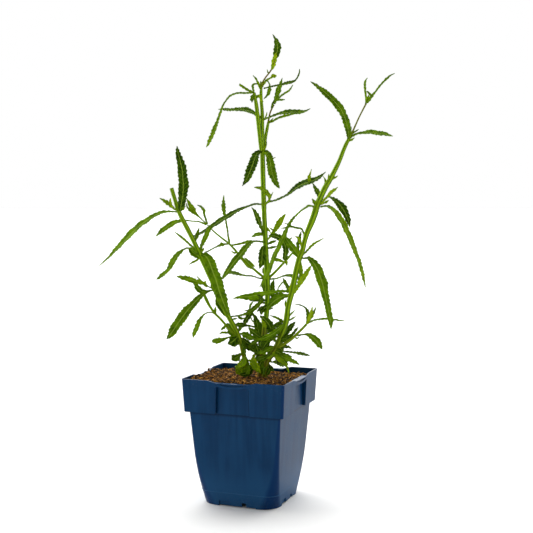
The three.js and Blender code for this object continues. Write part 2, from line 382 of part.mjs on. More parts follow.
// The shallow crescent groove between the rim and a panel's ledge
function grooveShape() {
  const shape = new THREE.Shape();
  shape.moveTo(-GROOVE_HALF, GROOVE_TOP);
  shape.quadraticCurveTo(0, GROOVE_TOP - 2 * GROOVE_SAG, GROOVE_HALF, GROOVE_TOP);
  shape.lineTo(-GROOVE_HALF, GROOVE_TOP);
  return shape;
}

function rimDipShape() {
  const shape = new THREE.Shape();
  shape.moveTo(-RIM_DIP_HALF, POT_HEIGHT - RIM_DIP);
  shape.lineTo(RIM_DIP_HALF, POT_HEIGHT - RIM_DIP);
  shape.lineTo(RIM_DIP_HALF + RIM_RAMP, POT_HEIGHT + 0.01);
  shape.lineTo(RIM_DIP_HALF + RIM_RAMP, POT_HEIGHT + 1);
  shape.lineTo(-RIM_DIP_HALF - RIM_RAMP, POT_HEIGHT + 1);
  shape.lineTo(-RIM_DIP_HALF - RIM_RAMP, POT_HEIGHT + 0.01);
  return shape;
}

const PANEL_FLOOR = COLLAR_BOTTOM_HALF - PANEL_DEPTH;

// The thicker wall behind one sunk panel
const panelBacking = (side, grow) =>
  throughWall(backingShape(WALL + grow), RIM_HALF + 1, PANEL_FLOOR - WALL - grow, side);

// The outside of the pot's foot, filled, kept only at the corners and behind the recess of each side
function feetSolid() {
  const edge = FOOT_INNER_EDGE;
  const block = toSolid(skin(BODY_LEVELS.slice(0, 3).map(([z, half, radius]) => squareRing(half, radius, z))));
  const low = boxSolid(100, 100, FLOOR_UNDERSIDE + WALL / 2, 0, 0, (FLOOR_UNDERSIDE + WALL / 2) / 2);
  let feet = block.intersect(low)
    .subtract(boxSolid(2 * edge, 100, 40, 0, 0, 0))
    .subtract(boxSolid(100, 2 * edge, 40, 0, 0, 0));
  const inner = RECESS_FLOOR - WALL;
  const back = boxSolid(RECESS_WIDTH + 2 * WALL, 4, FLOOR_UNDERSIDE + WALL, RECESS_PLACE, -inner - 2,
    (FLOOR_UNDERSIDE + WALL) / 2).intersect(block);
  for (let side = 0; side < 4; side++) {
    feet = feet.add(back.rotate([0, 0, side * 90]));
  }
  return feet;
}

// What is cut out of one side's lower edge: a low arch, a notch and a shallow recess
const footCuts = () => [
  boxSolid(2 * ARCH_HALF_WIDTH, 8, 2 * ARCH_HEIGHT, 0, -40, 0),
  boxSolid(NOTCH_WIDTH, 8, 2 * NOTCH_HEIGHT, NOTCH_PLACE, -42, 0),
  boxSolid(RECESS_WIDTH, 8, 2 * RECESS_HEIGHT, RECESS_PLACE, -RECESS_FLOOR - 4, 0),
];

function potSolid() {
  const collarBlock = toSolid(skin(COLLAR_LEVELS.map(([z, half, radius]) => squareRing(half, radius, z))));
  let pot = potShell().add(feetSolid());
  for (let side = 0; side < 4; side++) {
    pot = pot.add(panelBacking(side, 0).intersect(collarBlock));
  }
  for (let side = 0; side < 4; side++) {
    pot = pot.subtract(throughWall(panelShape(), RIM_HALF + 1, PANEL_FLOOR, side));
    pot = pot.subtract(throughWall(grooveShape(), RIM_HALF + 1, RIM_HALF - GROOVE_DEPTH, side));
    pot = pot.subtract(throughWall(rimDipShape(), RIM_HALF + 1, RIM_HALF - 8, side));
    const turn = side * 90;
    for (const cut of footCuts()) {
      pot = pot.subtract(cut.rotate([0, 0, turn]));
    }
  }
  for (const [x, y] of [[0, 0], [1, 1], [1, -1], [-1, 1], [-1, -1]]) {
    const hole = new THREE.CylinderGeometry(DRAIN_HOLE_RADIUS, DRAIN_HOLE_RADIUS, 12, 12).rotateX(Math.PI / 2);
    hole.translate(x * DRAIN_HOLE_PLACE, y * DRAIN_HOLE_PLACE, FLOOR_UNDERSIDE);
    pot = pot.subtract(toSolid(hole));
  }
  return pot;
}

// Height of the soil: rising a little to the front, with its heaps and hollows
function soilHeight(x, y) {
  const heaps = SOIL_HEAPS.map(([hx, hy, height, spread]) =>
    height * Math.exp(-(((x - hx) ** 2 + (y - hy) ** 2) / spread ** 2)));
  return SOIL_LEVEL - SOIL_SLOPE * y + heaps.reduce((sum, heap) => sum + heap, 0);
}

function soilSolid() {
  const fit = WALL + GAP;
  const body = BODY_LEVELS.slice(2).map(([z, half, radius]) =>
    squareRing(half - fit, Math.max(radius - fit, 0.9), z === COLLAR_Z ? COLLAR_Z + WALL + GAP : z));
  const levels = [squareRing(39.8, 16.2, FLOOR_UNDERSIDE + WALL + GAP), ...body,
    squareRing(COLLAR_BOTTOM_HALF - fit, 1.9, COLLAR_Z + WALL + GAP)];
  const tops = [1, 0.82, 0.6, 0.35].map((scale) =>
    squareRing(scale * 53.2, scale * 2, 0).map((p) => new THREE.Vector3(p.x, p.y, soilHeight(p.x, p.y))));
  let soil = toSolid(skin([...levels, ...tops]));
  for (let side = 0; side < 4; side++) {
    soil = soil.subtract(panelBacking(side, GAP));
  }
  return soil;
}

// A point of the upright sheet, brought towards the eye along its line of sight
function seen([across, up, near]) {
  return new THREE.Vector3(across, 0, up).sub(EYE).multiplyScalar(1 - near / -EYE.y).add(EYE);
}

// At each row: the place, and two directions square to the run, one of them facing the eye
function frames(rows) {
  const run = new THREE.CatmullRomCurve3(rows.map(seen), false, 'centripetal');
  return rows.map((row, i) => {
    const t = i / (rows.length - 1);
    const place = run.getPoint(t);
    const along = run.getTangent(t);
    const facing = EYE.clone().sub(place);
    facing.addScaledVector(along, -facing.dot(along)).normalize();
    return { place, along, facing, across: new THREE.Vector3().crossVectors(along, facing) };
  });
}

function stemGeometry(rows, grow) {
  const rings = frames(rows).map(({ place, facing, across }, row) => {
    const radius = rows[row][3] / 2 + grow;
    return Array.from({ length: STEM_SIDES }, (_, i) => {
      const angle = (i / STEM_SIDES) * 2 * Math.PI;
      return place.clone().addScaledVector(facing, radius * Math.cos(angle))
        .addScaledVector(across, radius * Math.sin(angle));
    });
  });
  return skin(rings);
}

// A leaf is a thin diamond in section, folded along its midrib
function leafGeometry([turn, rows]) {
  const tilt = THREE.MathUtils.degToRad(turn);
  const steps = frames(rows);
  const upward = steps[Math.floor(steps.length / 2)].across.z > 0 ? 1 : -1;
  const rings = steps.slice(0, -1).map(({ place, along, facing, across }, row) => {
    const face = facing.clone().multiplyScalar(Math.cos(tilt)).addScaledVector(across, upward * Math.sin(tilt));
    const side = new THREE.Vector3().crossVectors(along, face);
    const half = rows[row][3] / 2 / Math.cos(tilt);
    const lift = Math.max(LEAF_FOLD * half, 0.1);
    return [
      place.clone().addScaledVector(face, LEAF_HALF_THICKNESS),
      place.clone().addScaledVector(side, half).addScaledVector(face, lift),
      place.clone().addScaledVector(face, -LEAF_HALF_THICKNESS),
      place.clone().addScaledVector(side, -half).addScaledVector(face, lift),
    ];
  });
  return skin(rings, steps[steps.length - 1].place);
}

// Every piece of the plant, later ones kept clear of the soil and of the stems before them
function plantMeshes(soil) {
  const sheet = new THREE.Matrix4().makeRotationZ(SHEET_TURN);
  const placed = (geometry) => toSolid(geometry.applyMatrix4(sheet));
  const taken = [];
  const meshes = [];
  const add = (name, solid, material) => {
    const mesh = new THREE.Mesh(toGeometry(solid), material);
    mesh.name = name;
    meshes.push(mesh);
  };
  for (const [name, rows] of Object.entries(STEMS)) {
    let stem = placed(stemGeometry(rows, 0));
    for (const other of taken) stem = stem.subtract(other);
    add(name, largest(stem), STEM_FINISH);
    taken.push(placed(stemGeometry(rows, GAP)));
  }
  for (const [name, leaf] of Object.entries(LEAVES)) {
    let blade = placed(leafGeometry(leaf));
    for (const other of taken) blade = blade.subtract(other);
    add(name, largest(blade.subtract(soil)), LEAF_FINISH);
  }
  return { meshes, taken };
}

const verbena = new THREE.Group();
verbena.name = 'potted_verbena';
const wholeSoil = soilSolid();
const plant = plantMeshes(wholeSoil);
const pot = new THREE.Mesh(toGeometry(potSolid()), POT_FINISH);
pot.name = 'pot';
const rootedSoil = plant.taken.reduce((solid, stem) => solid.subtract(stem), wholeSoil);
const soil = new THREE.Mesh(toGeometry(largest(rootedSoil)), SOIL_FINISH);
soil.name = 'soil';
verbena.add(pot, soil, ...plant.meshes);

export default verbena;
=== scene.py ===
# %% [markdown]
# # A potted verbena in a square nursery pot
#
# This file builds the looks of one young verbena plant in its plastic pot, one small step at a time. The
# fixed frame loaded below holds the same pot, soil, stems and large leaves as plain solids, in metres,
# with +Z up and the origin in the middle of the pot's base. Everything made here takes its place from
# that frame.

# %% Load the frame and keep its box
import math
import random

import bpy
import numpy as np
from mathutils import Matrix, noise


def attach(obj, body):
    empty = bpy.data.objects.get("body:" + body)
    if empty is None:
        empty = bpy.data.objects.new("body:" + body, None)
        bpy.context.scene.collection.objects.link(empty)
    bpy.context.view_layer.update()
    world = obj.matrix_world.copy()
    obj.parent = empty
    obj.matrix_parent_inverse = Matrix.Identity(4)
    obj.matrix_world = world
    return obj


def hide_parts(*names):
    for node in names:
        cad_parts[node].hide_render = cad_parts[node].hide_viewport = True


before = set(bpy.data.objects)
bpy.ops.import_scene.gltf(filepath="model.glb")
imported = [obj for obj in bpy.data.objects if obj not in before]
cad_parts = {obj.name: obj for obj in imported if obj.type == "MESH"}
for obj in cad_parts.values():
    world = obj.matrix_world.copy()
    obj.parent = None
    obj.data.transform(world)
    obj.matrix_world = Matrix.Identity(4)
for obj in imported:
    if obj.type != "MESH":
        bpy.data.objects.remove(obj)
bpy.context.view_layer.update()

# %% [markdown]
# ## The camera
#
# The camera that fits the pot's outline in the photograph stands about a metre away, a little above the
# rim, with the pot turned by 20 degrees. The plant was measured on an upright sheet through the pot's
# axis that faces this camera. So the sheet's turn and the eye are named once here, and the stems and
# leaves below use them again.

# %% Set up the camera
SHEET_TURN = math.radians(20.3)
EYE = np.array((0.0157, -1.050, 0.311))
LOOK_DOWN = math.radians(3.8)
PHOTO_SIDE = 533
FOCAL_PIXELS = 1020

cosine, sine = math.cos(SHEET_TURN), math.sin(SHEET_TURN)
FROM_SHEET = np.array(((cosine, -sine, 0.0), (sine, cosine, 0.0), (0.0, 0.0, 1.0)))
EYE_PLACE = FROM_SHEET @ EYE

camera_data = bpy.data.cameras.new("camera")
camera_data.sensor_width = 36.0
camera_data.lens = FOCAL_PIXELS / PHOTO_SIDE * camera_data.sensor_width
camera_data.clip_start, camera_data.clip_end = 0.05, 30.0
camera = bpy.data.objects.new("camera", camera_data)
camera.location = EYE_PLACE
camera.rotation_euler = (math.pi / 2 - LOOK_DOWN, 0.0, SHEET_TURN)
bpy.context.scene.collection.objects.link(camera)
bpy.context.scene.camera = camera
print("lens:", round(camera_data.lens, 1), "mm")

# %% [markdown]
# ## Selecting with care
#
# Blender's operators act on whatever is selected, and the solids come in selected. So each new piece
# starts from an empty selection, and later steps lean on these few helpers.

# %% Selection helpers
def only(piece):
    """Selects one piece and nothing else, in object mode."""
    if bpy.context.mode != "OBJECT":
        bpy.ops.object.mode_set(mode="OBJECT")
    bpy.ops.object.select_all(action="DESELECT")
    piece.select_set(True)
    bpy.context.view_layer.objects.active = piece


def finish_modifiers(piece):
    only(piece)
    for modifier in list(piece.modifiers):
        bpy.ops.object.modifier_apply(modifier=modifier.name)


def triangles(piece):
    return sum(len(face.vertices) - 2 for face in piece.data.polygons)


# %% [markdown]
# ## Light, floor and background
#
# The photograph is a studio shot on white. The white backdrop behind the plant shows as a soft sheen on
# the pot's right side, while the dark room on the camera's side keeps the front deep blue. A gradient sky
# does both jobs, white behind and dim in front, and rays from the camera see plain white. Two wide, soft
# suns add the lamps: a strong one overhead, which lights the leaves and casts the faint shadow, and a
# weaker one from the front left. The floor is plain pale paper.

# %% Build the studio
def colour(red, green, blue):
    """A colour as read on a screen, 0 to 255, turned into the linear numbers that shaders work in."""
    def linear(value):
        value = value / 255
        return value / 12.92 if value <= 0.04045 else ((value + 0.055) / 1.055) ** 2.4
    return (linear(red), linear(green), linear(blue), 1.0)


BACKDROP_LIGHT = 3.0
ROOM_LIGHT = 0.12
FADE_START, FADE_END = -0.25, 0.45
BACK_DIRECTION = (-sine, cosine, 0.0)
WHITE = (1.0, 1.0, 1.0, 1.0)
PAPER = (0.77, 0.77, 0.762, 1.0)
FLOOR_SIDE = 60.0


def build_studio_sky():
    world = bpy.data.worlds.new("studio")
    bpy.context.scene.world = world
    world.use_nodes = True
    tree = world.node_tree
    tree.nodes.clear()
    place = tree.nodes.new("ShaderNodeTexCoord")
    towards = tree.nodes.new("ShaderNodeVectorMath")
    towards.operation = "DOT_PRODUCT"
    towards.inputs[1].default_value = BACK_DIRECTION
    tree.links.new(place.outputs["Generated"], towards.inputs[0])
    fade = tree.nodes.new("ShaderNodeMapRange")
    fade.interpolation_type = "SMOOTHSTEP"
    fade.inputs["From Min"].default_value = FADE_START
    fade.inputs["From Max"].default_value = FADE_END
    fade.inputs["To Min"].default_value = ROOM_LIGHT
    fade.inputs["To Max"].default_value = BACKDROP_LIGHT
    tree.links.new(towards.outputs["Value"], fade.inputs["Value"])
    rays = tree.nodes.new("ShaderNodeLightPath")
    shown = tree.nodes.new("ShaderNodeMix")
    tree.links.new(rays.outputs["Is Camera Ray"], shown.inputs["Factor"])
    tree.links.new(fade.outputs["Result"], shown.inputs["A"])
    shown.inputs["B"].default_value = 1.0
    sky = tree.nodes.new("ShaderNodeBackground")
    sky.inputs["Color"].default_value = WHITE
    tree.links.new(shown.outputs["Result"], sky.inputs["Strength"])
    out = tree.nodes.new("ShaderNodeOutputWorld")
    tree.links.new(sky.outputs["Background"], out.inputs["Surface"])


def add_sun(name, strength, spread, from_place):
    """Even light from far away, from a place given in the camera's own turn; spread softens its shadow."""
    data = bpy.data.lights.new(name, "SUN")
    data.energy, data.angle = strength, math.radians(spread)
    light = bpy.data.objects.new(name, data)
    way = FROM_SHEET @ (np.array(from_place) / np.linalg.norm(from_place))
    light.rotation_euler = (math.acos(way[2]), 0.0, math.atan2(way[1], way[0]) + math.pi / 2)
    bpy.context.scene.collection.objects.link(light)


def build_floor():
    bpy.ops.object.select_all(action="DESELECT")
    bpy.ops.mesh.primitive_plane_add(size=FLOOR_SIDE, location=(0.0, 0.0, 0.0))
    floor = bpy.context.object
    floor.name = "studio_floor"
    paper = bpy.data.materials.new("white_paper")
    paper.use_nodes = True
    shader = paper.node_tree.nodes["Principled BSDF"]
    shader.inputs["Base Color"].default_value = PAPER
    shader.inputs["Roughness"].default_value = 0.9
    floor.data.materials.append(paper)
    return floor


build_studio_sky()
add_sun("overhead", strength=1.25, spread=85.0, from_place=(-0.3, 0.4, 1.0))
add_sun("front_left", strength=0.66, spread=50.0, from_place=(-0.55, -1.0, 0.5))
floor = build_floor()
bpy.context.scene.view_settings.view_transform = "Standard"
print("studio ready, floor", floor.name)

# %% [markdown]
# ## Shader maths as plain expressions
#
# A material is a chain of nodes, and maths nodes make long scripts hard to read. So one small class wraps
# a node's output and turns `+`, `-` and `*` into nodes, and one method makes any other node from its
# settings and inputs. The same chain could be wired by hand in the shader editor.

# %% A wire with arithmetic
class Wire:
    """One output of a node, with arithmetic that adds Math nodes."""

    def __init__(self, finish, socket):
        self.finish, self.socket = finish, socket

    def math(self, operation, *values):
        return self.finish.node("ShaderNodeMath", {"operation": operation}, *values)

    def __add__(self, other):
        return self.math("ADD", self, other)

    __radd__ = __add__

    def __sub__(self, other):
        return self.math("SUBTRACT", self, other)

    def __rsub__(self, other):
        return self.math("SUBTRACT", other, self)

    def __mul__(self, other):
        return self.math("MULTIPLY", self, other)

    __rmul__ = __mul__

    def __abs__(self):
        return self.math("ABSOLUTE", self)

    def wave(self):
        return self.math("SINE", self)

    def between(self, low, high):
        """0 below low, 1 above high, and a smooth step from one to the other."""
        settings = {"interpolation_type": "SMOOTHSTEP"}
        return self.finish.node("ShaderNodeMapRange", settings, self, low, high)

    def band(self, rise, fall):
        """1 from the end of the rise to the start of the fall, and 0 outside them."""
        return self.between(*rise) * (1.0 - self.between(*fall))


# %% A finish and its nodes
class Finish:
    """One material and the short ways to add nodes to it."""

    def __init__(self, name, specular):
        self.material = bpy.data.materials.new(name)
        self.material.use_nodes = True
        self.tree = self.material.node_tree
        self.shader = self.tree.nodes["Principled BSDF"]
        self.set("Specular IOR Level", specular)

    def plug(self, socket, value):
        if isinstance(value, Wire):
            self.tree.links.new(value.socket, socket)
        else:
            socket.default_value = value

    def set(self, name, value):
        self.plug(self.shader.inputs[name], value)

    def node(self, kind, settings, *values, out=0, **named):
        """Any node: values fill its sockets in order, and named ones by name or, as at_6, by number."""
        made = self.tree.nodes.new(kind)
        for key, value in settings.items():
            setattr(made, key, value)
        for socket, value in zip(made.inputs, values):
            self.plug(socket, value)
        for key, value in named.items():
            self.plug(made.inputs[int(key[3:]) if key.startswith("at_") else key], value)
        return Wire(self, made.outputs[out])

    def place(self):
        """Where the point lies on the object, in metres."""
        return self.node("ShaderNodeTexCoord", {}, out="Object")

    def along_axis(self, axis):
        return self.node("ShaderNodeSeparateXYZ", {}, self.place(), out=axis)

    def noise(self, size, detail=2.0, stretch=None):
        """Soft noise from 0 to 1 whose lumps are about this size in metres."""
        where = self.place()
        if stretch:
            where = self.node("ShaderNodeVectorMath", {"operation": "MULTIPLY"}, where, stretch)
        return self.node("ShaderNodeTexNoise", {}, Vector=where, Scale=1 / size, Detail=detail)

    def across_along(self):
        """The piece's own UV map: across it, and from base to tip."""
        parts = self.node("ShaderNodeUVMap", {"uv_map": "UVMap"})
        return [self.node("ShaderNodeSeparateXYZ", {}, parts, out=axis) for axis in ("X", "Y")]

    def attribute(self, name):
        return self.node("ShaderNodeAttribute", {"attribute_name": name}, out="Fac")

    def mix(self, factor, first, second):
        """Two colours mixed; the node's colour sockets have the numbers 6 and 7, and 2 on the way out."""
        return self.node("ShaderNodeMix", {"data_type": "RGBA"}, factor, out=2, at_6=first, at_7=second)

    def bump(self, height, distance):
        self.set("Normal", self.node("ShaderNodeBump", {}, Distance=distance, Height=height))


# %% [markdown]
# ## The pot's plastic
#
# Such pots are injection-moulded polypropylene, dark blue right through. The plastic is never one flat
# tone: it flows down the mould in faint vertical streaks, has a fine skin texture, and picks up dust and
# small scuffs. Near the foot a lighter blue is painted in, a painted reflection of the white floor, and on
# the round corners a darker, purer blue is painted, as if they reflected the dark room. Narrow bands of
# painted shade lie under the collar, beside the sunk panels and along their lips, and a painted highlight
# lies on the bead above the feet. They are painted by height and by distance from the pot's middle planes.

# %% Moulded blue plastic
DARK_BLUE = (0.0014, 0.0275, 0.083, 1.0)
MID_BLUE = (0.0036, 0.0385, 0.106, 1.0)
FLOOR_REFLECTION_BLUE = (0.0100, 0.060, 0.150, 1.0)
CORNER_SHADE_BLUE = (0.0, 0.024, 0.092, 1.0)
PAINTED_SHADE_BLUE = (0.0, 0.006, 0.022, 1.0)
BEAD_HIGHLIGHT_BLUE = (0.022, 0.095, 0.210, 1.0)
DUST = colour(110, 110, 104)
BELOW_COLLAR = ((0.0925, 0.0958), (0.0963, 0.0966))
COLLAR_START = (0.0966, 0.0974)
PANEL_SIDE, PANEL_FACE = (0.0162, 0.0174), (0.0512, 0.0518)
LIP_SIDE, LIP_FACE = ((0.0173, 0.0177), (0.0180, 0.0185)), (0.0522, 0.0526)
LIP_HEIGHT = (COLLAR_START, (0.122, 0.124))
BEAD_HEIGHT = ((0.0136, 0.0140), (0.0144, 0.0149))


def moulded_blue():
    finish = Finish("moulded_blue", 0.07)
    streaks = finish.noise(0.007, 3.0, (1.0, 1.0, 0.06))
    cloud = finish.noise(0.03)
    dust = finish.noise(0.0016, 4.0)
    height = finish.along_axis("Z")
    tone = (0.7 * streaks + 0.3 * cloud).between(0.36, 0.64)
    base = finish.mix(tone, DARK_BLUE, MID_BLUE)
    # Painted reflection: the lower body is painted lighter, where the white floor would light it.
    base = finish.mix((1.0 - height.between(0.010, 0.050)) * 0.9, base, FLOOR_REFLECTION_BLUE)
    # Painted reflection: the round corners get a darker, purer blue, as if they reflected the dark room.
    base = finish.mix(finish.attribute("corner"), base, CORNER_SHADE_BLUE)
    across, deep = abs(finish.along_axis("X")), abs(finish.along_axis("Y"))
    near, far = across.math("MINIMUM", across, deep), across.math("MAXIMUM", across, deep)
    # Painted shade: narrow dark bands under the collar's overhang, on the panels' side walls and under
    # their lips.
    collar_shadow = height.band(*BELOW_COLLAR)
    on_collar = height.between(*COLLAR_START)
    panel_wall_shade = near.between(*PANEL_SIDE) * (1.0 - far.between(*PANEL_FACE)) * on_collar
    lip_shadow = near.band(*LIP_SIDE) * far.between(*LIP_FACE) * height.band(*LIP_HEIGHT)
    base = finish.mix(collar_shadow * 0.6 + panel_wall_shade * 0.6 + lip_shadow * 0.45, base, PAINTED_SHADE_BLUE)
    # Painted highlight: a light line along the bead above the feet, where light from above would catch it.
    base = finish.mix(height.band(*BEAD_HEIGHT) * 0.5, base, BEAD_HIGHLIGHT_BLUE)
    rim_dust = height.between(0.112, 0.130) * dust.between(0.56, 0.74) * 0.12
    foot_dust = (1.0 - height.between(0.004, 0.022)) * dust.between(0.5, 0.7) * 0.10
    finish.set("Base Color", finish.mix(rim_dust + foot_dust, base, DUST))
    finish.set("Roughness", 0.26 + 0.12 * cloud + 0.06 * dust)
    skin = finish.noise(0.0009)
    scuffs = finish.noise(0.0025, stretch=(0.35, 0.35, 1.6))
    finish.bump(skin * 0.6 + scuffs.between(0.62, 0.78), 0.00006)
    return finish.material


POT_FINISH = moulded_blue()
print("finish:", POT_FINISH.name)

# %% [markdown]
# ## The pot
#
# The fixed frame already holds the pot's true shape: the tapered body whose corners grow rounder towards
# the base, the collar with its four sunk panels, the dips in the rim and the slotted feet. A real
# moulding has no sharp edges, and those small rounded edges catch the light. So a copy of the solid is
# merged, its flat areas are joined into single faces, and every edge gets a small bevel. How far each
# point's surface turns towards a corner is stored beside it, for the finish to read.

# %% Round the pot's edges
MERGE_WITHIN = 0.00001
FLAT_WITHIN = math.radians(0.6)
EDGE_ROUNDING = 0.00045
EDGE_FROM = math.radians(32)
SMOOTH_UNDER = math.radians(40)


def mark(mesh, name, values):
    """Stores one number a point under a name that materials read."""
    layer = mesh.attributes.new(name, "FLOAT", "POINT")
    layer.data.foreach_set("value", np.broadcast_to(values, len(mesh.vertices)).astype(np.float32))


def build_pot():
    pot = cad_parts["pot"].copy()
    pot.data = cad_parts["pot"].data.copy()
    pot.name = pot.data.name = "moulded_pot"
    bpy.context.scene.collection.objects.link(pot)
    pot.hide_render = pot.hide_viewport = False
    only(pot)
    bpy.ops.object.mode_set(mode="EDIT")
    bpy.ops.mesh.select_all(action="SELECT")
    bpy.ops.mesh.remove_doubles(threshold=MERGE_WITHIN)
    bpy.ops.mesh.dissolve_limited(angle_limit=FLAT_WITHIN)
    bpy.ops.object.mode_set(mode="OBJECT")
    bevel = pot.modifiers.new("rounded_edges", "BEVEL")
    bevel.width, bevel.segments = EDGE_ROUNDING, 3
    bevel.limit_method, bevel.angle_limit = "ANGLE", EDGE_FROM
    finish_modifiers(pot)
    bpy.ops.object.shade_smooth_by_angle(angle=SMOOTH_UNDER)
    flat = pot.modifiers.new("flat_faces_stay_flat", "WEIGHTED_NORMAL")
    flat.keep_sharp = True
    finish_modifiers(pot)
    # This corner share steers the painted corner reflection in the finish.
    normals = np.array([corner.normal for corner in pot.data.vertices])
    mark(pot.data, "corner", np.clip(3.0 * np.abs(normals[:, 0] * normals[:, 1]), 0.0, 1.0))
    pot.data.materials.clear()
    pot.data.materials.append(POT_FINISH)
    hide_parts("pot")
    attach(pot, "root")
    return pot


pot = build_pot()
print("pot:", triangles(pot), "triangles")

# %% [markdown]
# ## Flat sheets as the start of every grown thing
#
# Leaves, stems and the soil's crust all start as one flat grid of faces. The grid's own UV map runs
# across and along it. So after the sheet is moved into shape, a midrib, a rib on a stem or a tooth on a
# margin can still be painted and modelled by that map. A function of the two numbers, from 0 to 1, places
# each point.

# %% Sheet helpers
def sheet(name, across, along):
    bpy.ops.object.select_all(action="DESELECT")
    bpy.ops.mesh.primitive_grid_add(x_subdivisions=across, y_subdivisions=along, size=1.0)
    piece = bpy.context.object
    piece.name = piece.data.name = name
    return piece


def points_of(mesh):
    flat = np.empty(len(mesh.vertices) * 3)
    mesh.vertices.foreach_get("co", flat)
    return flat.reshape(-1, 3)


def shape(piece, place):
    """Moves each point of a flat sheet to where a function of its two numbers puts it."""
    flat = points_of(piece.data)
    points = place(flat[:, 0] + 0.5, flat[:, 1] + 0.5)
    piece.data.vertices.foreach_set("co", np.ascontiguousarray(points).ravel())
    piece.data.update()


def close_tube(piece):
    """Joins a rolled sheet along its seam and closes both of its ends."""
    only(piece)
    bpy.ops.object.mode_set(mode="EDIT")
    bpy.ops.mesh.select_all(action="SELECT")
    bpy.ops.mesh.remove_doubles(threshold=0.000002)
    bpy.ops.mesh.select_all(action="DESELECT")
    bpy.ops.mesh.select_mode(type="EDGE")
    bpy.ops.mesh.select_non_manifold()
    bpy.ops.mesh.fill_holes(sides=0)
    bpy.ops.mesh.select_all(action="SELECT")
    bpy.ops.mesh.normals_make_consistent(inside=False)
    bpy.ops.mesh.select_mode(type="VERT")
    bpy.ops.object.mode_set(mode="OBJECT")


# %% [markdown]
# ## From a traced line to a run through space
#
# Every stem and leaf was measured in millimetres as a row of points: across, up, towards the eye, and how
# wide it looks. A point moves towards the eye along its line of sight, so it stays on its place in the
# picture. A centripetal Catmull-Rom curve joins the points, the same curve as the solids use, and is then
# walked in even steps.

# %% Runs and frames
MOST_STEPS = 110


def seen(rows):
    """Places in the pot's frame, in metres, of rows of across, up and towards the eye in millimetres."""
    rows = rows / 1000
    flat = np.stack((rows[:, 0], np.zeros(len(rows)), rows[:, 1]), axis=1)
    share = (1 - rows[:, 2] / -EYE[1])[:, None]
    return ((flat - EYE) * share + EYE) @ FROM_SHEET.T


def smooth_run(knots, per_span=12):
    """A centripetal Catmull-Rom curve through the knots; every column is carried along."""
    ends = np.vstack((2 * knots[0] - knots[1], knots, 2 * knots[-1] - knots[-2]))
    gaps = np.maximum(np.linalg.norm(np.diff(ends[:, :3], axis=0), axis=1) ** 0.5, 1e-6)
    pieces = []
    for i in range(1, len(ends) - 2):
        before, here, after, beyond = ends[i - 1:i + 3]
        gap0, gap1, gap2 = gaps[i - 1:i + 2]
        start = ((here - before) / gap0 - (after - before) / (gap0 + gap1) + (after - here) / gap1) * gap1
        stop = ((after - here) / gap1 - (beyond - here) / (gap1 + gap2) + (beyond - after) / gap2) * gap1
        u = np.linspace(0, 1, per_span, endpoint=False)[:, None]
        pieces.append(here + start * u + (-3 * here + 3 * after - 2 * start - stop) * u ** 2
                      + (2 * here - 2 * after + start + stop) * u ** 3)
    pieces.append(ends[-2][None])
    return np.vstack(pieces)


def walk(rows, pitch, fewest):
    """The traced line as even steps with its half width last, its length, and how many steps it has."""
    rows = np.array(rows, float)
    run = smooth_run(np.hstack((seen(rows), rows[:, 3:4] / 2000)))
    steps = np.linalg.norm(np.diff(run[:, :3], axis=0), axis=1)
    lengths = np.concatenate(([0], np.cumsum(steps)))
    length = lengths[-1]
    count = int(np.clip(length / pitch, fewest, MOST_STEPS))
    wanted = np.linspace(0, length, count + 1)
    return np.stack([np.interp(wanted, lengths, column) for column in run.T], axis=1), length, count


def unit(vectors):
    return vectors / np.maximum(np.linalg.norm(vectors, axis=1, keepdims=True), 1e-12)


def directions(places):
    """Along the run, towards the eye square to it, and sideways."""
    along = unit(np.gradient(places, axis=0))
    facing = EYE_PLACE - places
    facing = unit(facing - along * (facing * along).sum(axis=1, keepdims=True))
    return along, facing, np.cross(along, facing)


# %% [markdown]
# ## The stems
#
# A verbena stem is wiry and four-angled: four light green ribs with darker grooves between them, rough
# with short stiff hairs, woody near the soil, purple-brown at the nodes and in the thin top shoots. Each
# stem is a sheet rolled into a tube along its run, with the ribs made by a radius that grows and shrinks
# four times around. At the widths first read, the stems came out thinner than in the photograph, so each
# one is drawn wider than its solid in the frame.

# %% The stem's finish
TURN = 6.2832
RIBS = 4


def ribbed_stem():
    finish = Finish("ribbed_stem", 0.05)
    around, along = finish.across_along()
    ribs = (around * (RIBS * TURN)).wave() * 0.5 + 0.5
    patches = finish.noise(0.006, 3.0)
    fine = finish.noise(0.0008)
    green = finish.mix(ribs, colour(58, 94, 0), colour(134, 168, 14))
    green = finish.mix(patches.between(0.4, 0.75) * 0.6, green, colour(104, 128, 6))
    purple = finish.mix(ribs * 0.6, colour(84, 48, 26), colour(128, 98, 36))
    woody = finish.mix(ribs * 0.7, colour(84, 74, 12), colour(128, 124, 30))
    painted = finish.mix((1.0 - finish.along_axis("Z").between(0.128, 0.200)) * 0.75, green, woody)
    painted = finish.mix(finish.attribute("purple"), painted, purple)
    finish.set("Base Color", finish.mix(fine.between(0.55, 0.8) * 0.1, painted, colour(160, 176, 70)))
    finish.set("Roughness", 0.45 + 0.2 * fine)
    finish.bump(fine + 0.4 * ribs, 0.00004)
    return finish.material


STEM_FINISH = ribbed_stem()
print("finish:", STEM_FINISH.name)

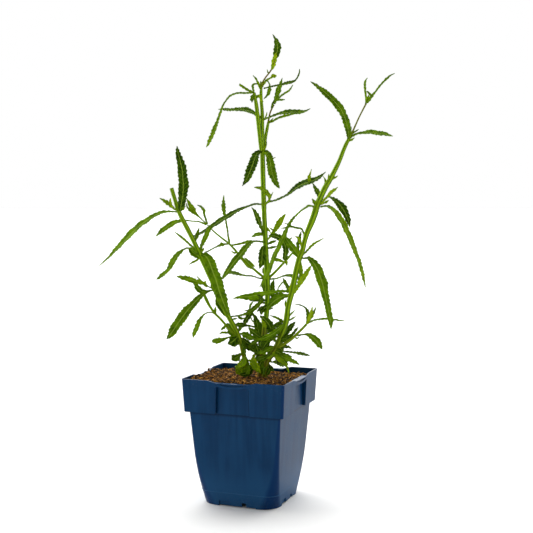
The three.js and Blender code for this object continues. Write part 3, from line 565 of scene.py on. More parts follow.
# %% Stems, followed upwards: across, up, towards the eye, diameter
STEMS = {
    "stem_middle": [(9, 121, -2, 6), (11, 140, -2, 5.6), (12.5, 160, -3, 5), (13.5, 175, -4, 4.4),
        (15.5, 190, -5, 4.2), (16.8, 210, -6, 4.4), (16.5, 230, -7, 4.6), (15.7, 245, -8, 4.4),
        (15, 260, -8, 4.2), (14.3, 275, -9, 4.3), (13.6, 290, -10, 4), (13, 305, -11, 4.1),
        (12.4, 325, -12, 4), (11.9, 345, -13, 4), (11.6, 360, -13, 3.8)],
    "stem_left": [(-2, 121, 2, 5), (-4.5, 132, 3, 4.6), (-6.5, 142, 4, 4), (-8.5, 152, 5, 3.8),
        (-11, 162, 6, 3.8), (-14.5, 172, 8, 4), (-18.5, 180, 9, 4.2), (-24, 190, 10, 4),
        (-29, 200, 11, 3.8), (-38, 220, 13, 3.6), (-47, 240, 15, 3.6), (-53, 253.5, 16, 4),
        (-58.5, 266, 17, 3.8), (-66, 281, 18, 3.8), (-74.5, 298, 19, 3.6), (-78, 309, 19, 3.2),
        (-81.9, 322, 20, 3.2)],
    "stem_right": [(14, 121, 7, 4.6), (14.3, 134, 7, 4.6), (16.5, 143, 6.5, 4.7), (21.5, 150, 6, 4.8),
        (27, 160, 6, 4.8), (32, 172, 7, 4.6), (36, 184, 8, 5), (38.2, 200, 9, 4.6), (42.5, 217, 11, 4.6),
        (44.5, 228, 12, 4.8), (47.2, 240, 13, 4.8), (49.7, 250, 14, 4.6), (52.8, 258, 14.5, 4.2),
        (54.6, 266, 15, 4), (57.5, 276, 15.5, 4.4), (61.5, 285.5, 16, 5), (65, 295, 16.5, 5.4),
        (68, 305, 16.5, 5), (72, 314, 16, 4.6), (76, 322.5, 16, 4.6), (80.5, 330, 15.5, 4.2),
        (85.7, 340, 15, 3.8), (90.7, 350.5, 14, 3.4), (94.5, 360.5, 13, 3.2), (97.8, 368, 12, 3),
        (101, 374, 11.5, 2.4), (104, 380, 11, 1.6), (110.5, 394.5, 9, 1.2), (117.3, 407.8, 7, 1.4)],
    "shoot_top_left": [(10.2, 360, -11, 2.4), (9.2, 372, -9, 2.8), (8, 383, -7, 2.8), (6.6, 396, -4, 2.8),
        (5.4, 406, -2, 2.6), (4.2, 413, -1, 2.2), (3.2, 419, 0, 1.8)],
    "shoot_top_middle": [(11.6, 360, -13, 2.8), (11.3, 378, -13.5, 2.8), (11.3, 392, -13, 2.7),
        (11.2, 400, -12.5, 2.4), (10.4, 410, -11.5, 2.2), (10.1, 420, -10.5, 2), (10.6, 425, -10, 1.6),
        (12.3, 430.5, -9.5, 1.1), (15, 434.7, -9, 1), (20.5, 442, -8, 1), (24.6, 452.5, -6, 1.2)],
    "shoot_top_right": [(12.8, 360, -15, 2.4), (14, 370, -17, 2.4), (15.4, 378, -18.5, 2.2),
        (17, 386, -20, 2), (18, 392, -20.5, 1.2), (19.2, 398, -21, 1.1), (21, 402.5, -21, 1.1),
        (23.2, 407, -21, 1.4)],
    "lateral_left": [(15, 228.5, -7, 2), (10, 232.3, -6, 1.9), (5.5, 236, -5, 1.8), (1.5, 239.6, -4, 1.8),
        (-3, 243.8, -3, 1.8), (-10.5, 251.2, -1, 1.6), (-15, 256.3, -1, 1.6), (-22.5, 264.5, -2, 1.5),
        (-30, 270.4, -3, 1.3), (-36, 275.2, -4, 1.2), (-41, 279.8, -5, 1.1), (-45, 284, -6, 1.1)],
    "lateral_right": [(18, 229.5, -7, 2), (22, 233, -7, 1.9), (26, 237, -6, 1.8), (30.5, 241.8, -5, 1.8),
        (34.5, 246.2, -3, 1.8), (38, 250, -3, 1.6), (43.8, 257, -3, 1.2)],
    "shoot_low_left": [(-17.5, 171, 9, 2), (-24, 177.8, 11, 1.8), (-28, 182.4, 12, 1.8),
        (-33, 188, 13, 1.7), (-37, 191.8, 13, 1.7), (-40.5, 196.3, 13, 1.8), (-43.5, 201, 13, 2),
        (-46, 206, 13, 2.4), (-48, 210.5, 13, 2.2), (-49, 214, 12, 1.6)],
    "shoot_low_right": [(26, 156, 7, 2.4), (33, 160, 11, 2.4), (37.5, 163, 12, 2.3), (41.5, 166, 13, 2.2),
        (45, 169, 14, 2), (50, 174, 16, 1.9), (54, 178, 17, 1.8), (57, 181.3, 18, 1.8)],
}

# %% [markdown]
# The thin top shoots are purple-brown, and so is the skin near each node. Each stem's purple share is
# named by the height where it starts, the height where it is full, and how strong it is.

# %% Roll the stems
PURPLE = {
    "shoot_top_middle": (0.422, 0.434, 0.8), "shoot_top_right": (0.388, 0.394, 0.75),
    "stem_right": (0.372, 0.38, 0.55), "stem_middle": (0.182, 0.172, 0.4),
}
NOT_PURPLE = (9.0, 9.1, 0.0)
DRAWN_WIDER = {
    "stem_middle": 1.18, "stem_left": 1.15, "stem_right": 1.15,
    "shoot_top_left": 1.42, "shoot_top_middle": 1.42, "shoot_top_right": 1.42,
}
OTHERS_WIDER = 1.3
AROUND_STEM = 16
STEM_PITCH = 0.0022
RIB_HEIGHT = 0.09
BARK_RIPPLE, RIPPLES_PER_METRE = 0.015, 500


def build_stem(name, rows):
    run, length, count = walk(rows, STEM_PITCH, 16)
    places, radius = run[:, :3], run[:, 3] * DRAWN_WIDER.get(name, OTHERS_WIDER)
    along, facing, side = directions(places)
    piece = sheet(name + "_ribbed", AROUND_STEM, count)

    def place(s, t):
        row = np.rint(t * count).astype(int)
        angle = s * 2 * np.pi
        ripple = 1 + RIB_HEIGHT * np.cos(RIBS * angle)
        ripple += BARK_RIPPLE * np.sin(t * length * RIPPLES_PER_METRE + 2 * angle)
        reach = (radius[row] * ripple)[:, None]
        outward = np.cos(angle)[:, None] * facing[row] + np.sin(angle)[:, None] * side[row]
        return places[row] + reach * outward

    shape(piece, place)
    close_tube(piece)
    low, high, share = PURPLE.get(name, NOT_PURPLE)
    height = points_of(piece.data)[:, 2]
    mark(piece.data, "purple", np.clip((height - low) / (high - low), 0, 1) * share)
    bpy.ops.object.shade_smooth()
    piece.data.materials.append(STEM_FINISH)
    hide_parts(name)
    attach(piece, "root")
    return piece


stems = [build_stem(name, rows) for name, rows in STEMS.items()]
print("stems:", len(stems), "pieces,", sum(map(triangles, stems)), "triangles")

# %% [markdown]
# ## The leaves' finish
#
# The upper face is a deep green, with a pale sunken midrib, side veins that run to the teeth, a lighter
# margin and rough puckered skin. The underside is paler, with raised veins. Young leaves are
# yellow-green. Each leaf carries a number, its tone, from -1 for the darkest to +1 for the youngest.

# %% Leaf finishes
def leaf_pattern(finish):
    """The shares of midrib, side vein and margin at a point of the leaf."""
    across, along = finish.across_along()
    off_middle = abs(across - 0.5) * 2.0
    phase = (along * finish.attribute("teeth") - off_middle * 1.1) * TURN
    veins = (phase.wave() * 0.5 + 0.5).between(0.7, 1.0) * (1.0 - off_middle.between(0.75, 1.0))
    return 1.0 - off_middle.between(0.04, 0.16), veins, off_middle.between(0.84, 1.0)


def leaf_upper():
    finish = Finish("leaf_upper", 0.04)
    midrib, veins, margin = leaf_pattern(finish)
    tone = finish.attribute("tone") - 0.15
    patches = finish.noise(0.007, 3.0).between(0.3, 0.7)
    mottle = finish.noise(0.0034, 3.0)
    pucker = finish.noise(0.0011)
    darkest = finish.mix(patches, colour(24, 50, 0), colour(50, 82, 0))
    middle = finish.mix(patches, colour(72, 108, 0), colour(110, 148, 4))
    young = finish.mix(patches, colour(132, 164, 0), colour(164, 188, 8))
    blade = finish.mix(tone.between(-1.0, 0.1), darkest, middle)
    blade = finish.mix(tone.between(0.0, 1.0), blade, young)
    blade = finish.mix(mottle.between(0.52, 0.72) * 0.3, blade, colour(116, 150, 10))
    blade = finish.mix((1.0 - mottle.between(0.3, 0.48)) * 0.3, blade, colour(22, 52, 0))
    blade = finish.mix(veins * 0.3, blade, colour(110, 144, 22))
    blade = finish.mix(margin * 0.5, blade, colour(124, 156, 10))
    finish.set("Base Color", finish.mix(midrib * 0.75, blade, colour(142, 170, 56)))
    finish.set("Roughness", 0.42 + 0.22 * pucker)
    finish.bump(pucker * 0.5 + mottle - midrib * 1.4 - veins * 0.8, 0.0003)
    return finish.material


def leaf_under():
    finish = Finish("leaf_under", 0.015)
    midrib, veins, margin = leaf_pattern(finish)
    patches = finish.noise(0.006, 3.0)
    fuzz = finish.noise(0.0009)
    old = finish.mix(patches, colour(58, 88, 2), colour(92, 122, 12))
    young = finish.mix(patches, colour(128, 158, 4), colour(156, 180, 24))
    blade = finish.mix(finish.attribute("tone").between(-1.0, 1.0), old, young)
    blade = finish.mix(fuzz.between(0.5, 0.8) * 0.2, blade, colour(140, 160, 56))
    finish.set("Base Color", finish.mix(midrib * 0.65 + veins * 0.3, blade, colour(150, 172, 84)))
    finish.set("Roughness", 0.55 + 0.2 * fuzz)
    finish.bump(fuzz * 0.5 + midrib * 1.5 + veins, 0.00025)
    return finish.material


LEAF_UPPER, LEAF_UNDER = leaf_upper(), leaf_under()
print("finishes:", LEAF_UPPER.name, LEAF_UNDER.name)

# %% Leaves: turn of the face in degrees, tone, then across, up, towards the eye, width as seen
LEAVES = {
    "leaf_tip": (0, -0.7, [(24.9, 453.5, -6, 2), (25.6, 457, -5, 6), (26.5, 461, -4, 7),
        (26.9, 465, -3, 7.4), (26.2, 469, -1, 5.6), (25, 472.5, 0, 3), (23.4, 475.5, 1, 1.5),
        (22, 477.8, 2, 0.3)]),
    "leaf_tip_dark": (40, -0.6, [(12.8, 423.3, -8, 1.2), (20, 425.1, -5, 1.3), (28, 426.7, -2, 1.6),
        (33, 427.9, 0, 2.2), (38, 429, 2, 2.8), (43, 430.3, 4, 2.2), (45.5, 432, 5, 1.3),
        (47.5, 435, 5, 1.3), (49, 439, 4, 1.2), (49.3, 443, 3, 0.3)]),
    "leaf_tip_arching": (35, 0.35, [(2.8, 419, 0, 1.6), (-6, 418.7, 6, 1.6), (-13, 418.7, 10, 1.6),
        (-18, 417.5, 13, 1.6), (-22, 415.3, 16, 1.5), (-25, 412, 18, 1.4), (-28, 407.5, 21, 1.5),
        (-30, 403, 23, 1.8), (-34.5, 390, 26, 2.6), (-37.2, 383, 27, 3.6), (-40, 376, 28, 3.8),
        (-43, 369, 28, 3), (-46, 363.5, 28, 0.3)]),
    "leaf_fork_broad": (10, -0.1, [(23.6, 407.5, -21, 2.2), (25, 412.5, -20, 3.2), (26.5, 417.5, -18, 4.8),
        (28.2, 422.5, -16, 5), (30, 428, -13, 3), (31.8, 434, -11, 0.3)]),
    "leaf_fork_left": (50, -0.3, [(11, 393, -11.5, 1.8), (5, 397, -8, 3), (0, 399.8, -4, 4.2),
        (-5, 401.3, 0, 4.8), (-10, 402, 4, 3.8), (-18, 401.7, 8, 2.6), (-26, 402, 12, 2.4),
        (-33.5, 402.3, 15, 0.3)]),
    "leaf_fork_right": (50, -0.3, [(12.4, 391.5, -13, 1.4), (17, 393.5, -15, 1.6), (22, 395.5, -16, 1.8),
        (27, 397.2, -18, 2), (32, 398.7, -20, 3.4), (38, 399.2, -21, 4.2), (44, 399.5, -22, 4.4),
        (50, 399.4, -23, 4), (55, 400.3, -24, 2), (60.5, 403, -25, 0.3)]),
    "leaf_high_left": (10, -0.8, [(10.6, 359.3, -12, 2), (7.5, 358.6, -9, 4), (5, 355.8, -5, 6.5),
        (3, 351, -2, 8.6), (1.3, 345.5, 1, 8.6), (-0.8, 340, 3, 8.6), (-3, 335, 4, 7.6),
        (-5, 330.5, 5, 5.4), (-7, 327, 5, 2.6), (-9.2, 324, 5, 0.3)]),
    "leaf_high_right": (20, -0.2, [(13, 359.3, -13, 2), (16, 358.6, -13, 4), (18, 355.5, -12, 5.5),
        (19, 351, -10, 7), (19.8, 346, -8, 8.4), (20.8, 340.5, -6, 8.2), (22.2, 335, -4, 7.6),
        (24, 330, -2, 6.4), (26.3, 325.5, 0, 4.4), (29.2, 321.7, 1, 0.4)]),
    "leaf_wide_left": (50, -0.7, [(12, 305.1, -11, 1.6), (7, 305.6, -11, 1.6), (3, 305.4, -10, 1.6),
        (-1, 304.2, -8, 1.5), (-6, 302.3, -6, 2), (-12, 299.8, -4, 3.2), (-18, 296.7, -2, 4),
        (-24, 293, 0, 4.8), (-30, 289.4, 1, 4.6), (-36, 285.7, 2, 4.6), (-42, 281.6, 2, 3.6),
        (-48, 278, 2, 2.6), (-53, 275, 1, 2), (-56.5, 273.3, 0, 0.3)]),
    "leaf_wide_right": (50, -0.7, [(14, 305, -11, 1.6), (17, 307.3, -12, 1.6), (25, 309.5, -16, 1.6),
        (30, 311.5, -19, 1.8), (36, 314.6, -22, 2), (41, 318, -24, 3), (46, 322.2, -27, 5.2),
        (51, 325.2, -29, 5.6), (57, 327.6, -31, 6), (63, 329.5, -32, 5.6), (68, 332, -33, 4),
        (72, 334.6, -34, 2.2), (76.4, 338.6, -34, 0.3)]),
    "leaf_middle_upright": (0, -0.5, [(12.6, 275, -7.5, 2), (10.3, 281, -6, 2.6), (9, 285, -4, 4),
        (7.3, 289.5, -2, 5.8), (5.5, 294, 0, 4.8), (3.3, 298.5, 2, 3), (0.4, 302.2, 3, 0.3)]),
    "leaf_middle_bright": (15, 0.85, [(16, 268.5, -9.5, 1.6), (19.5, 272, -14, 2), (24.5, 279, -20, 4.4),
        (27.5, 284, -23, 5.6), (30.3, 288.5, -25, 5.4), (33, 292.5, -27, 3.6), (35.4, 295.6, -28, 0.3)]),
    "leaf_side_dark": (20, -0.6, [(34.9, 248, -1, 3), (34.8, 251, 0, 4.6), (35.6, 256, 1, 5.6),
        (35, 262, 2, 6.5), (32.5, 267.5, 3, 6.8), (28, 271.5, 3, 6), (23, 273, 1, 5),
        (17.6, 273.2, -1, 0.4)]),
    "leaf_middle_hanging": (0, -0.6, [(13.6, 262.5, -5.5, 2.5), (11.8, 258.5, -3, 5.5),
        (11.2, 253.5, 0, 7.4), (11, 248, 1, 7.6), (10.2, 243.5, 2, 5), (8.3, 239, 2, 0.4)]),
    "leaf_middle_long": (35, -0.3, [(13.4, 266.3, -7, 1.6), (8, 267.2, -4, 1.6), (3, 267.3, 0, 1.8),
        (-0.5, 266, 4, 2.8), (-4, 262.5, 7, 5), (-8.5, 257, 10, 6.2), (-13, 251.5, 12, 6.4),
        (-17.5, 246, 14, 6.2), (-21.5, 240.5, 16, 5.6), (-25, 235.5, 18, 4.6), (-28, 231, 20, 3),
        (-29.6, 228, 21, 0.3)]),
    "leaf_low_left": (50, -0.4, [(14, 228.8, -7, 1.8), (8, 229.2, -6, 1.4), (4, 230.6, -5, 1.3),
        (0, 231.6, -4, 1.4), (-5, 231.7, -3, 1.5), (-10, 232.6, -1, 2.2), (-15, 234, 0, 3.4),
        (-20, 234.8, 1, 4), (-24, 234.6, 2, 3), (-27.5, 234, 2, 0.3)]),
    "leaf_low_right": (50, -0.4, [(18.6, 228.3, -8, 2), (24, 228.5, -10, 1.3), (28, 229.6, -13, 1.2),
        (32, 231.1, -15, 1.3), (36, 231.9, -17, 2), (40, 231.6, -19, 3.6), (44, 230.6, -20, 4),
        (48, 229, -20, 3), (51, 227.5, -20, 0.3)]),
    "leaf_side_upright": (25, 0.1, [(-22.6, 265.6, -3, 2), (-23.8, 273, -6, 1.7), (-24.3, 278, -8, 1.6),
        (-25.3, 284, -10, 1.6), (-26.4, 290, -11, 2), (-27.5, 296, -12, 3.2), (-28.4, 301.5, -12, 3.8),
        (-28.6, 307, -11, 3), (-28, 314.8, -10, 0.3)]),
    "leaf_side_short": (30, 0.3, [(-23.6, 264.5, -1, 1.2), (-27, 264.4, 0, 1.8), (-30, 264, 1, 3.6),
        (-33, 262.8, 2, 2.2), (-37, 261.2, 3, 1.2), (-41, 259, 3, 1.2), (-45, 256.9, 3, 1.2),
        (-49, 256, 3, 0.3)]),
    "leaf_side_end": (10, 0.6, [(-46, 285.2, -6, 1.2), (-50, 289, -7, 1.2), (-54, 293, -8, 1.4),
        (-57, 296.2, -9, 2.6), (-60, 300, -10, 5), (-62.5, 304, -11, 4.4), (-64.3, 307.5, -11, 3.2),
        (-66.2, 311.3, -11, 0.4)]),
    "leaf_side_far": (35, 0.3, [(-46.3, 284.2, -7, 1.4), (-49, 285.8, -9, 1.6), (-54, 287.6, -11, 1.2),
        (-60, 288, -13, 1.1), (-66, 288.7, -15, 1.4), (-72, 288.2, -17, 2.8), (-77, 287.2, -18, 4.2),
        (-82, 284.9, -18, 5), (-87, 281.8, -18, 5.2), (-91.5, 278.3, -17, 4.8), (-95, 275.3, -16, 2.8),
        (-98.3, 272.3, -15, 0.3)]),
    "leaf_left_upright": (10, -0.75, [(-73, 298.5, 22, 3), (-72.3, 304, 22.5, 6.5), (-71.3, 309, 23, 7.6),
        (-70.2, 316, 23, 8.8), (-69.6, 323, 22, 10), (-70, 331, 21, 9.4), (-70.6, 339, 19, 9),
        (-72.2, 347, 17, 7.6), (-74.2, 355, 15, 5.4), (-75.4, 360, 13, 3.6), (-76, 365, 12, 0.4)]),
    "leaf_left_arching": (50, 0.1, [(-76, 297.5, 19, 1.3), (-81, 297.8, 19, 1.4), (-86, 298, 18.5, 2),
        (-92, 297, 18, 2.8), (-98, 294.6, 17.5, 3.6), (-104, 291, 17, 4.2), (-110, 287, 16, 4.8),
        (-116, 282.5, 15, 5.2), (-121, 278, 14, 5.6), (-126, 273, 13, 5.4), (-131, 267.8, 12, 4.8),
        (-137, 261.5, 11, 4), (-143, 255, 10, 2.8), (-148, 250, 9, 1.6), (-152, 246.3, 8, 1.2),
        (-157, 242, 7, 0.3)]),
    "leaf_left_broad": (5, -0.15, [(-51.5, 254, 18.5, 2), (-46.5, 251.5, 21, 8.5), (-43.5, 246, 21.5, 10.5),
        (-40.5, 238, 20.5, 11.5), (-37, 228.5, 19.5, 12), (-34, 219, 18.5, 11.8), (-31, 210, 17.5, 10.4),
        (-28, 202, 16.5, 8), (-25, 195.5, 15.5, 5), (-21.5, 189.5, 15, 0.5)]),
    "leaf_left_drooping": (35, 0.0, [(-54.4, 254.5, 18, 4.5), (-58.5, 257, 21, 4.5), (-62, 259.6, 23, 2.4),
        (-66, 260.2, 25, 1.4), (-70, 258.7, 27, 1.8), (-74, 255.6, 28, 3.8), (-78, 251, 29, 5),
        (-81, 246, 30, 5.4), (-83.8, 241, 30, 4.4), (-87, 236.8, 30, 3.4), (-91, 233, 29, 3.8),
        (-95, 230, 28, 2.6), (-98.3, 227.8, 27, 0.3)]),
    "leaf_left_inner": (0, 0.0, [(-53.4, 257.5, 16.5, 2), (-50.5, 264, 15, 3.4), (-48.7, 268.5, 14, 4.4),
        (-46.5, 273.5, 13, 4.8), (-44, 278.5, 12, 4.4), (-41.8, 282.3, 11, 3.4), (-39.3, 286.3, 10, 0.4)]),
    "leaf_left_low": (20, -0.25, [(-39.5, 216.8, 15, 1.4), (-44.5, 215.8, 19, 2), (-48.5, 213.6, 21, 3.4),
        (-53, 209.8, 23, 5), (-57.5, 205.3, 26, 6), (-62.5, 199.8, 28, 7.4), (-67.5, 194, 30, 8.8),
        (-72, 188, 31, 9.4), (-76, 182.3, 32, 9), (-79.5, 177, 32, 8.4), (-82.5, 172.5, 32, 7),
        (-85, 169, 31, 4.6), (-88, 165.8, 30, 0.4)]),
    "leaf_left_pointing": (15, 0.4, [(-38.6, 217.6, 13.5, 1.2), (-43.5, 220.2, 14, 1.2),
        (-47, 222.2, 15, 1.6), (-52, 224.3, 16, 3.4), (-57.5, 226, 17, 4.6), (-63, 227.7, 18, 5.6),
        (-68, 229, 18, 5), (-72.5, 230, 18, 3.4), (-77.4, 231.3, 17, 0.3)]),
    "leaf_low_left_drooping": (25, 0.1, [(-37.6, 192, 14, 1.1), (-41, 193.7, 16, 1), (-45, 193.6, 18, 1),
        (-48.5, 191.8, 20, 1.3), (-51.5, 188.6, 22, 2.4), (-54, 184.5, 23, 3.8), (-56, 179.5, 24, 4.4),
        (-58, 174.5, 24, 4.4), (-59.7, 170.5, 24, 3), (-60.2, 167.3, 24, 0.3)]),
    "leaf_right_tip": (30, 0.0, [(118, 408.8, 7, 2), (120.5, 411.5, 7, 2.6), (123.5, 416, 6, 2.4),
        (127, 420.3, 4, 1.6), (130.5, 425, 2, 1.8), (134, 429, 0, 1.6), (138, 433, -2, 2),
        (142, 436.5, -4, 1.4), (146.5, 438.6, -6, 0.3)]),
    "leaf_right_curved": (15, -0.3, [(99.7, 371.5, 13, 2), (99.5, 377, 14, 4.4), (98.8, 383, 16, 6),
        (97, 390, 18, 6.4), (94.3, 397, 20, 6.8), (90.5, 403.5, 21, 7), (86, 409, 22, 6.8),
        (81, 414, 22, 6.5), (75.5, 419, 21, 5.6), (70, 423.5, 20, 4), (65.5, 427, 19, 2.6),
        (60.5, 430.3, 18, 0.3)]),
    "leaf_right_flat": (50, 0.0, [(101, 373.5, 11.5, 2), (105, 376, 12.5, 2), (109, 377.6, 13, 1.8),
        (114, 378.3, 14, 2.4), (119, 378.8, 15, 3.6), (124, 378.8, 16, 4.1), (130, 378, 17, 4.2),
        (136, 377, 17, 3.6), (141, 376, 17, 2.2), (145, 375, 17, 0.3)]),
    "leaf_right_crossing": (-45, 0.25, [(66, 302, 16.5, 2), (62.5, 303.4, 17, 1.6), (59, 304, 17, 1.8),
        (56, 302, 16, 1.6), (50, 297.6, 15, 1.5), (45, 293, 14, 1.8), (40.5, 287.5, 13.5, 2.6),
        (37, 281.3, 13, 3.2), (33.5, 273.5, 13, 4.4), (30.2, 266.5, 12.5, 4.4), (27, 259.5, 12, 4.4),
        (24, 253, 11, 4.2), (21.3, 246.5, 10, 4.2), (18.5, 239, 8.5, 4.2), (15.2, 231, 7, 3.4),
        (12, 225, 6, 2), (8.4, 219.4, 5, 0.3)]),
    "leaf_right_long": (40, 0.45, [(71, 302.8, 17, 1.5), (76.5, 303.7, 19, 1.6), (80.5, 302.6, 21, 2.6),
        (84.5, 299.5, 23, 3.8), (88.5, 295.3, 25, 4.8), (92.3, 289.5, 27, 5.4), (95.8, 283, 29, 5.4),
        (99.5, 275.5, 30, 5.2), (102.6, 268, 31, 4.9), (105.8, 260, 32, 4.4), (109, 252, 32, 3.6),
        (111.8, 244.5, 32, 3.5), (114, 237, 32, 3.4), (115.5, 230.5, 31, 2.6), (116.8, 225, 31, 1.6),
        (118.2, 219.4, 30, 0.3)]),
    "leaf_right_dark": (20, -0.65, [(73, 309.5, 14.5, 1.2), (77, 312, 12, 1), (80.5, 312.8, 10, 1.2),
        (84, 311, 9, 3.2), (88, 308, 8, 5.4), (92, 303.7, 8, 7.2), (95.3, 298.8, 8, 7.6),
        (98, 293.5, 8, 6.6), (100, 288, 8, 4.6), (101.5, 282, 8, 0.4)]),
    "leaf_right_bright": (15, 0.8, [(71.5, 305, 18, 1.4), (75, 309.7, 20, 2), (78.5, 313.7, 22, 2.4),
        (82, 317.5, 24, 3.4), (85.3, 320, 26, 2.6), (88.9, 323, 27, 0.4)]),
    "leaf_right_folded": (0, 0.0, [(48.6, 252, 14.5, 3.6), (46, 255.8, 14, 6.5), (43, 260.3, 12, 7),
        (39.8, 264.5, 10, 6.6), (37, 268.5, 8, 5), (35.2, 272.5, 6.5, 0.5)]),
    "leaf_right_broad": (20, -0.1, [(51, 249.9, 15, 1.8), (55, 249.8, 17, 1.6), (58.5, 250.2, 19, 3),
        (62, 247.8, 21, 5.4), (66, 242.5, 23, 7.6), (69.3, 236, 25, 9.2), (71.8, 229, 26, 9.6),
        (74.2, 221, 26, 9.2), (76.2, 212.5, 26, 7.4), (78, 204, 25, 6.2), (79.8, 196, 24, 6.2),
        (81.5, 188, 23, 5.2), (82.3, 182, 22, 4), (82.7, 176, 21, 0.4)]),
    "leaf_right_small": (10, 0.7, [(44, 213.5, 13, 2), (47.5, 219.5, 16, 3.4), (50.8, 225, 18, 5),
        (54, 230, 19, 5), (57, 234.5, 20, 4.4), (59.8, 239, 20, 2.8), (62.3, 243, 20, 0.3)]),
    "leaf_right_pale": (-35, 0.2, [(41, 215.2, 10.5, 2.6), (34, 215.8, 8, 2.6), (28, 215.6, 6, 2.8),
        (22, 214.8, 4, 3.2), (15, 213.6, 2, 4.4), (8, 212.2, 2, 6), (2, 210.9, 2, 7.5), (-4, 210, 3, 6.4),
        (-10, 209.8, 4, 3.8), (-15, 209, 5, 2), (-19, 207.9, 5, 0.3)]),
    "leaf_base_reaching": (15, -0.3, [(-22, 189.3, 9.5, 1.4), (-12, 190.5, 8, 1.6), (-5, 192.5, 6, 3),
        (1, 196, 4, 4.5), (6, 200.5, 2, 4.5), (10, 205, 1, 3), (12.5, 208.5, 1, 0.4)]),
    "leaf_base_face": (0, -0.7, [(21.5, 173.5, -1, 5), (19.8, 178, 1, 8), (17.3, 182.3, 3, 8),
        (14, 186, 5, 6.5), (11, 188.6, 6, 3.5), (8.6, 190.3, 6, 0.4)]),
    "leaf_base_diagonal": (-20, -0.1, [(34.8, 182.3, 11, 2.6), (30, 177.3, 14, 7), (25.5, 173.5, 15, 9),
        (20.5, 170.3, 15, 9.4), (15, 167.5, 14, 8), (10, 165.8, 13, 4.5), (4.5, 165, 12, 0.4)]),
    "leaf_base_round": (15, 0.0, [(-14.5, 170.5, 9, 1.6), (-25.5, 167, 14, 1.8), (-30, 165.3, 17, 3.6),
        (-35, 164, 19, 5.6), (-38.5, 163.9, 20, 5.2), (-41, 164.3, 20, 1.5)]),
    "leaf_base_yellow": (10, 0.6, [(-7.3, 148, 6.5, 2.4), (-8, 144, 10, 6), (-9.5, 140.5, 13, 7),
        (-12.5, 138, 16, 5), (-16.5, 136.5, 18, 0.6)]),
    "leaf_base_low_right": (15, 0.35, [(24.5, 151.8, 7, 2.6), (31, 148.5, 12, 5), (35, 146.3, 16, 6),
        (40, 144.3, 19, 5.6), (45, 142, 21, 4.4), (50, 139, 23, 0.5)]),
    "leaf_low_right_hanging": (15, -0.15, [(45.6, 169.6, 14, 1.4), (50, 170, 16, 1.8), (54, 170.6, 18, 1.3),
        (57.5, 170.8, 20, 2.4), (61, 169.6, 22, 5), (64.5, 167, 23, 6.6), (67.7, 163.6, 24, 7),
        (70.7, 159.6, 25, 5.4), (73.6, 155.4, 26, 0.5)]),
    "leaf_low_right_hooked": (10, -0.4, [(57.3, 182.4, 17.5, 1.8), (58.3, 187.5, 17, 2.6),
        (58.6, 192, 16, 3.4), (57.6, 196, 15, 2.6), (55, 199.2, 14, 1.4), (50.5, 201.4, 13, 1.2),
        (45, 202.1, 13, 0.3)]),
}

# %% [markdown]
# ## Bending a sheet into a leaf
#
# A leaf's face is turned about its own run, folded a little along the midrib, puckered between its side
# veins, and cut into forward-pointing teeth along both margins. Solidify then gives the sheet its
# thickness, and puts the paler finish on the underside. The same function makes the large leaves and the
# small ones. Three large leaves looked too broad beside the photograph, so they are drawn narrower than
# their solids.

# %% Bend one leaf
LEAF_THICKNESS = 0.00035
LEAF_FOLD = 0.2
COLUMNS, ROW_PITCH = 8, 0.0009
NARROWEST = 0.00012
TOOTH_PITCH, TOOTH_DEPTH = (0.0024, 0.0056), (0.0003, 0.0012)
TOOTH_TURNS, TOOTH_INSET = 0.72, 0.4
BLADE_DEEPER = 1.4
MARGIN_FROM, INNER_SHARE = 0.9, 0.12
SWELL, SWELLS_PER_METRE = 0.07, 330
EDGE_LIFT, LIFTS_PER_METRE = 0.09, 480
PILLOW, VEIN_PITCH = 0.035, 0.0042
NARROWER = {"leaf_base_diagonal": 0.58, "leaf_base_low_right": 0.8, "leaf_low_left": 0.9}


def margin_teeth(chance, length, distances, deeper):
    """How far the margin stands out at each distance: slow out, quick back, every tooth of its own size."""
    out = np.zeros(len(distances))
    start = -chance.uniform(0, 0.003)
    while start < length:
        pitch, depth = chance.uniform(*TOOTH_PITCH), chance.uniform(*TOOTH_DEPTH) * deeper
        share = (distances - start) / pitch
        inside = (share >= 0) & (share < 1)
        rise, fall = share[inside] / TOOTH_TURNS, (1 - share[inside]) / (1 - TOOTH_TURNS)
        out[inside] = depth * (np.minimum(rise, fall) - TOOTH_INSET)
        start += pitch
    return out


